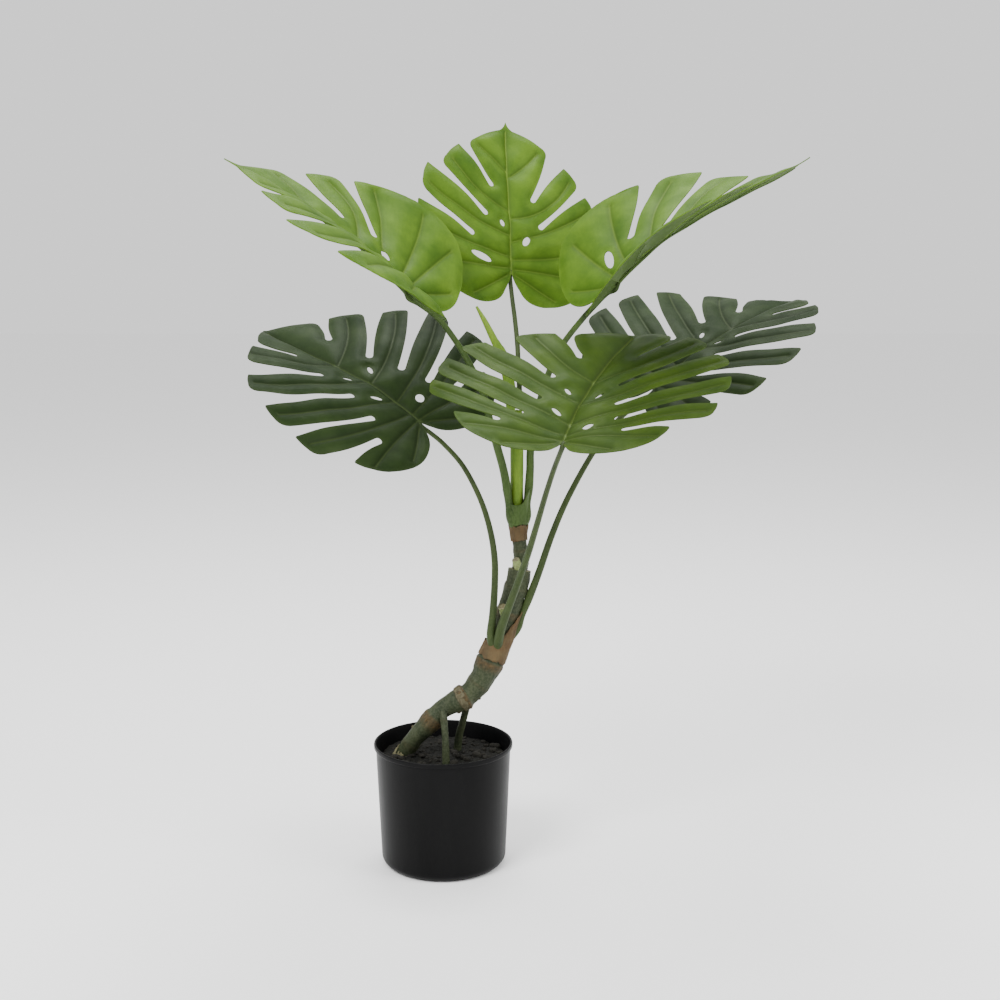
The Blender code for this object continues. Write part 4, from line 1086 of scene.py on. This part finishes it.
def make_nubs(material):
    """Small dry pegs that stand out of the old stem where roots and leaf bases broke off."""
    fine = smooth_route(TRUNK_ROUTE, 10)
    frames = route_frames(fine)
    points, faces = [], []
    for place, angle, size in NUBS:
        index = round(place * 10)
        centre, front, side = frames[index]
        out = front * math.cos(math.radians(angle)) + side * math.sin(math.radians(angle))
        foot = centre + out * (fine[index][3] * 0.85)
        route = [Vector((*(foot + out * size * reach), size * width))
                 for reach, width in ((0.0, 0.95), (0.5, 0.85), (0.9, 0.55), (1.1, 0.2))]
        add_tube(points, faces, route, 10,
                 lambda share, turn: 1 + 0.25 * noise.noise(Vector((turn, 3 * share, place))))
    new_piece("dry_nubs", points, faces, [material], "husk")


def make_husks(materials):
    """Dry sheaths round the stem's joints, the green cup, and the sheaths that stalks leave."""
    husk, sheath = materials["husk"], materials["sheath"]
    make_wrap("split_foot", TRUNK_ROUTE, 0.5, 1.6, ragged(0.0, 0.1, 2.0, 21.0),
              ragged(0.55, 0.40, 2.0, 22.0), 0.0002, 0.0008, materials["cut"], "bark", [])
    make_wrap("dry_ring", TRUNK_ROUTE, 4.9, 5.4, ragged(0.0, 0.10, 2.0, 1.0),
              ragged(0.8, 0.35, 2.5, 5.0), 0.0003, 0.0010, materials["dry"], "husk", ["husk_ring"])

    def slanted(angle):
        rise = ((1 + math.sin(angle + 0.45)) / 2) ** 3
        return 0.30 + 0.66 * rise + 0.05 * noise.noise(
            Vector((4 * math.cos(angle), 4 * math.sin(angle), 8.0)))
    make_wrap("dry_husk", TRUNK_ROUTE, 8.3, 11.7, ragged(0.0, 0.05, 2.0, 3.0), slanted,
              0.0004, 0.0014, husk, "husk", ["husk_lower"])
    make_wrap("dry_collar", UPPER_STEM_ROUTE, 2.7, 4.2, ragged(0.0, 0.06, 2.0, 6.0),
              ragged(0.85, 0.15, 2.0, 9.0), 0.0004, 0.0006, husk, "husk", ["husk_upper"])
    cup_route = UPPER_STEM_ROUTE[-2:] + CROWN_ROUTE[1:4]

    def open_front(angle):
        facing = max(math.cos(angle), math.cos(angle + math.pi))
        return 0.74 - 0.26 * ease((facing - 0.35) / 0.65)
    make_wrap("green_cup", cup_route, 0.0, 3.0, ragged(0.0, 0.02, 2.0, 2.0), open_front,
              0.0008, 0.0120, sheath, "stem", ["leaf_cup"], wrinkle=0.02)


# --- Pot and soil --------------------------------------------------------------------------------
def arc(centre, radius, start, end, steps):
    """Points on an arc in the (radius, height) plane, angles in degrees."""
    angles = [math.radians(start + (end - start) * step / steps) for step in range(steps + 1)]
    return [(centre[0] + radius * math.cos(angle), centre[1] + radius * math.sin(angle))
            for angle in angles]


def make_pot(material):
    """The pot turned as one skin: underside, rounded heel, side, rolled lip, inside and floor."""
    low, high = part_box("pot")
    rim_radius, height = (high.x - low.x) / 2, high.z
    lip_low = height - LIP_HEIGHT
    heel = arc((POT_BASE_RADIUS - HEEL_RADIUS, HEEL_RADIUS), HEEL_RADIUS, -90, 0, 8)
    lip = [(POT_TOP_RADIUS, lip_low)] + arc((rim_radius - LIP_ROUND, lip_low + LIP_ROUND),
                                            LIP_ROUND, -60, 0, 4)
    lip += arc((rim_radius - LIP_ROUND, height - LIP_ROUND), LIP_ROUND, 0, 180, 8)
    foot = [(0.0, 0.0008), (0.048, 0.0008), (0.0495, 0.0), (0.0545, 0.0)]
    within = [(POT_TOP_RADIUS - POT_WALL, lip_low - 0.001), (POT_BASE_RADIUS - POT_WALL, HEEL_RADIUS),
              (POT_BASE_RADIUS - HEEL_RADIUS, 0.003), (0.0, 0.003)]
    profile = foot + heel + lip + within
    sides = 128
    points = [Vector((radius * math.cos(2 * math.pi * step / sides),
                      radius * math.sin(2 * math.pi * step / sides), level))
              for radius, level in profile for step in range(sides)]
    faces = []
    for ring in range(len(profile) - 1):
        for step in range(sides):
            a, b = ring * sides + step, ring * sides + (step + 1) % sides
            faces.append((a, b, b + sides, a + sides))
    piece = new_piece("plant_pot", points, faces, [material], "pot", ["pot"])
    piece.data.set_sharp_from_angle(angle=math.radians(40))


def clod_height(x, y):
    """The soil's surface at a place: clods, crumbs and smaller lumps."""
    clods = noise.noise(Vector((90 * x, 90 * y, 0.3)))
    crumbs = noise.cell(Vector((260 * x + 0.4 * clods, 260 * y, 1.0)))
    lumps = noise.noise(Vector((300 * x, 300 * y, 2.0)))
    return 0.0024 * clods + 0.0008 * crumbs + 0.0014 * lumps


def make_soil(materials):
    """The potting mix: a lumpy surface with a scatter of crumbs and bark bits."""
    low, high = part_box("soil")
    radius, level = (high.x - low.x) / 2, high.z - 0.0026
    rings, points, faces = 54, [], []
    points.append(Vector((0, 0, level + clod_height(0, 0))))
    starts = [0]
    counts = [1]
    for ring in range(1, rings + 1):
        count = 6 * ring if ring < 27 else 162
        starts.append(len(points))
        counts.append(count)
        for step in range(count):
            angle = 2 * math.pi * (step + 0.5 * (ring % 2)) / count
            distance = radius * ring / rings
            x, y = distance * math.cos(angle), distance * math.sin(angle)
            points.append(Vector((x, y, level + clod_height(x, y))))
    flat, _, faces, _, _, _ = delaunay_2d_cdt([point.xy for point in points], [], [], 0, 1e-7)
    surface = [Vector((place.x, place.y, point.z)) for place, point in zip(flat, points)]
    outer = list(range(starts[-1], starts[-1] + counts[-1]))
    faces = [tuple(face) for face in faces]
    base = len(surface)
    for index in outer:
        surface.append(Vector((surface[index].x, surface[index].y, level - 0.012)))
    for step in range(len(outer)):
        following = (step + 1) % len(outer)
        faces.append((outer[following], outer[step], base + step, base + following))
    new_piece("potting_mix", surface, faces, [materials["soil"]], "soil", ["soil"])
    make_crumbs(radius, level, materials["chips"])


def make_crumbs(radius, level, material):
    """Small stones and bark bits lying on the soil, each a rough turned and flattened lump."""
    points, faces = [], []
    for _ in range(230):
        distance = (radius - 0.004) * math.sqrt(random.random())
        heading = 2 * math.pi * random.random()
        x, y = distance * math.cos(heading), distance * math.sin(heading)
        size = 0.0011 + 0.0034 * random.random() ** 3
        spin = Matrix.Rotation(2 * math.pi * random.random(), 3, "Z")
        shape = Vector((1.0 + random.random(), 0.8 + 0.4 * random.random(), 0.5 + 0.4 * random.random()))
        first = len(points)
        centre = Vector((x, y, level + clod_height(x, y) + 0.2 * size))
        for ring in range(1, 4):
            for step in range(7):
                polar = math.pi * ring / 4
                angle = 2 * math.pi * step / 7
                place = Vector((math.sin(polar) * math.cos(angle), math.sin(polar) * math.sin(angle),
                                math.cos(polar)))
                place *= 1 + 0.3 * (random.random() - 0.5)
                points.append(centre + spin @ (place * shape) * size)
        points.append(centre + Vector((0, 0, size * shape.z)))
        points.append(centre - Vector((0, 0, size * shape.z)))
        for ring in range(2):
            for step in range(7):
                a, b = first + ring * 7 + step, first + ring * 7 + (step + 1) % 7
                faces.append((a, a + 7, b + 7, b))
        for step in range(7):
            following = (step + 1) % 7
            faces.append((first + 21, first + step, first + following))
            faces.append((first + 22, first + 14 + following, first + 14 + step))
    new_piece("soil_crumbs", points, faces, [material], "soil")


# --- Floor, light and view -----------------------------------------------------------------------
SKY_STRENGTH = 1.15


def make_stage():
    """A plain pale floor, soft lights and the camera."""
    mesh = bpy.data.meshes.new("floor")
    mesh.from_pydata([(-8, -8, 0), (8, -8, 0), (8, 8, 0), (-8, 8, 0)], [], [(0, 1, 2, 3)])
    floor = bpy.data.objects.new("floor", mesh)
    bpy.context.scene.collection.objects.link(floor)
    paper, _, shader = new_material("floor_paper", 0.9, 0.1)
    shader.inputs["Base Color"].default_value = (0.96, 0.96, 0.96, 1.0)
    mesh.materials.append(paper)

    world = bpy.data.worlds.new("studio")
    world.use_nodes = True
    backdrop = world.node_tree.nodes["Background"]
    backdrop.inputs["Color"].default_value = (1.0, 1.0, 1.0, 1.0)
    backdrop.inputs["Strength"].default_value = SKY_STRENGTH
    bpy.context.scene.world = world
    for name, place, size, power in (("key_light", (-1.1, -1.5, 2.3), 1.1, 80),
                                     ("side_light", (1.6, -0.7, 1.6), 1.0, 26),
                                     ("top_light", (0.1, 0.7, 2.2), 1.0, 36)):
        lamp = bpy.data.lights.new(name, "AREA")
        lamp.size = size
        lamp.energy = power
        light = bpy.data.objects.new(name, lamp)
        light.location = place
        aim = Vector((0.05, 0.0, 0.45)) - Vector(place)
        light.rotation_euler = aim.to_track_quat("-Z", "Y").to_euler()
        bpy.context.scene.collection.objects.link(light)

    lens = bpy.data.cameras.new("camera")
    lens.lens = LENS_MM
    camera = bpy.data.objects.new("camera", lens)
    camera.location = CAMERA_PLACE
    camera.rotation_euler = (math.radians(CAMERA_PITCH), 0.0, 0.0)
    bpy.context.scene.collection.objects.link(camera)
    bpy.context.scene.camera = camera


def main():
    make_stage()
    materials = make_materials()
    make_pot(materials["pot"])
    make_soil(materials)
    make_plant(materials)
    flats = {}
    for leaf in LEAVES:
        if leaf.pattern not in flats:
            flats[leaf.pattern] = flat_blade(leaf.pattern)
        make_blade(leaf, flats[leaf.pattern], materials)


main()
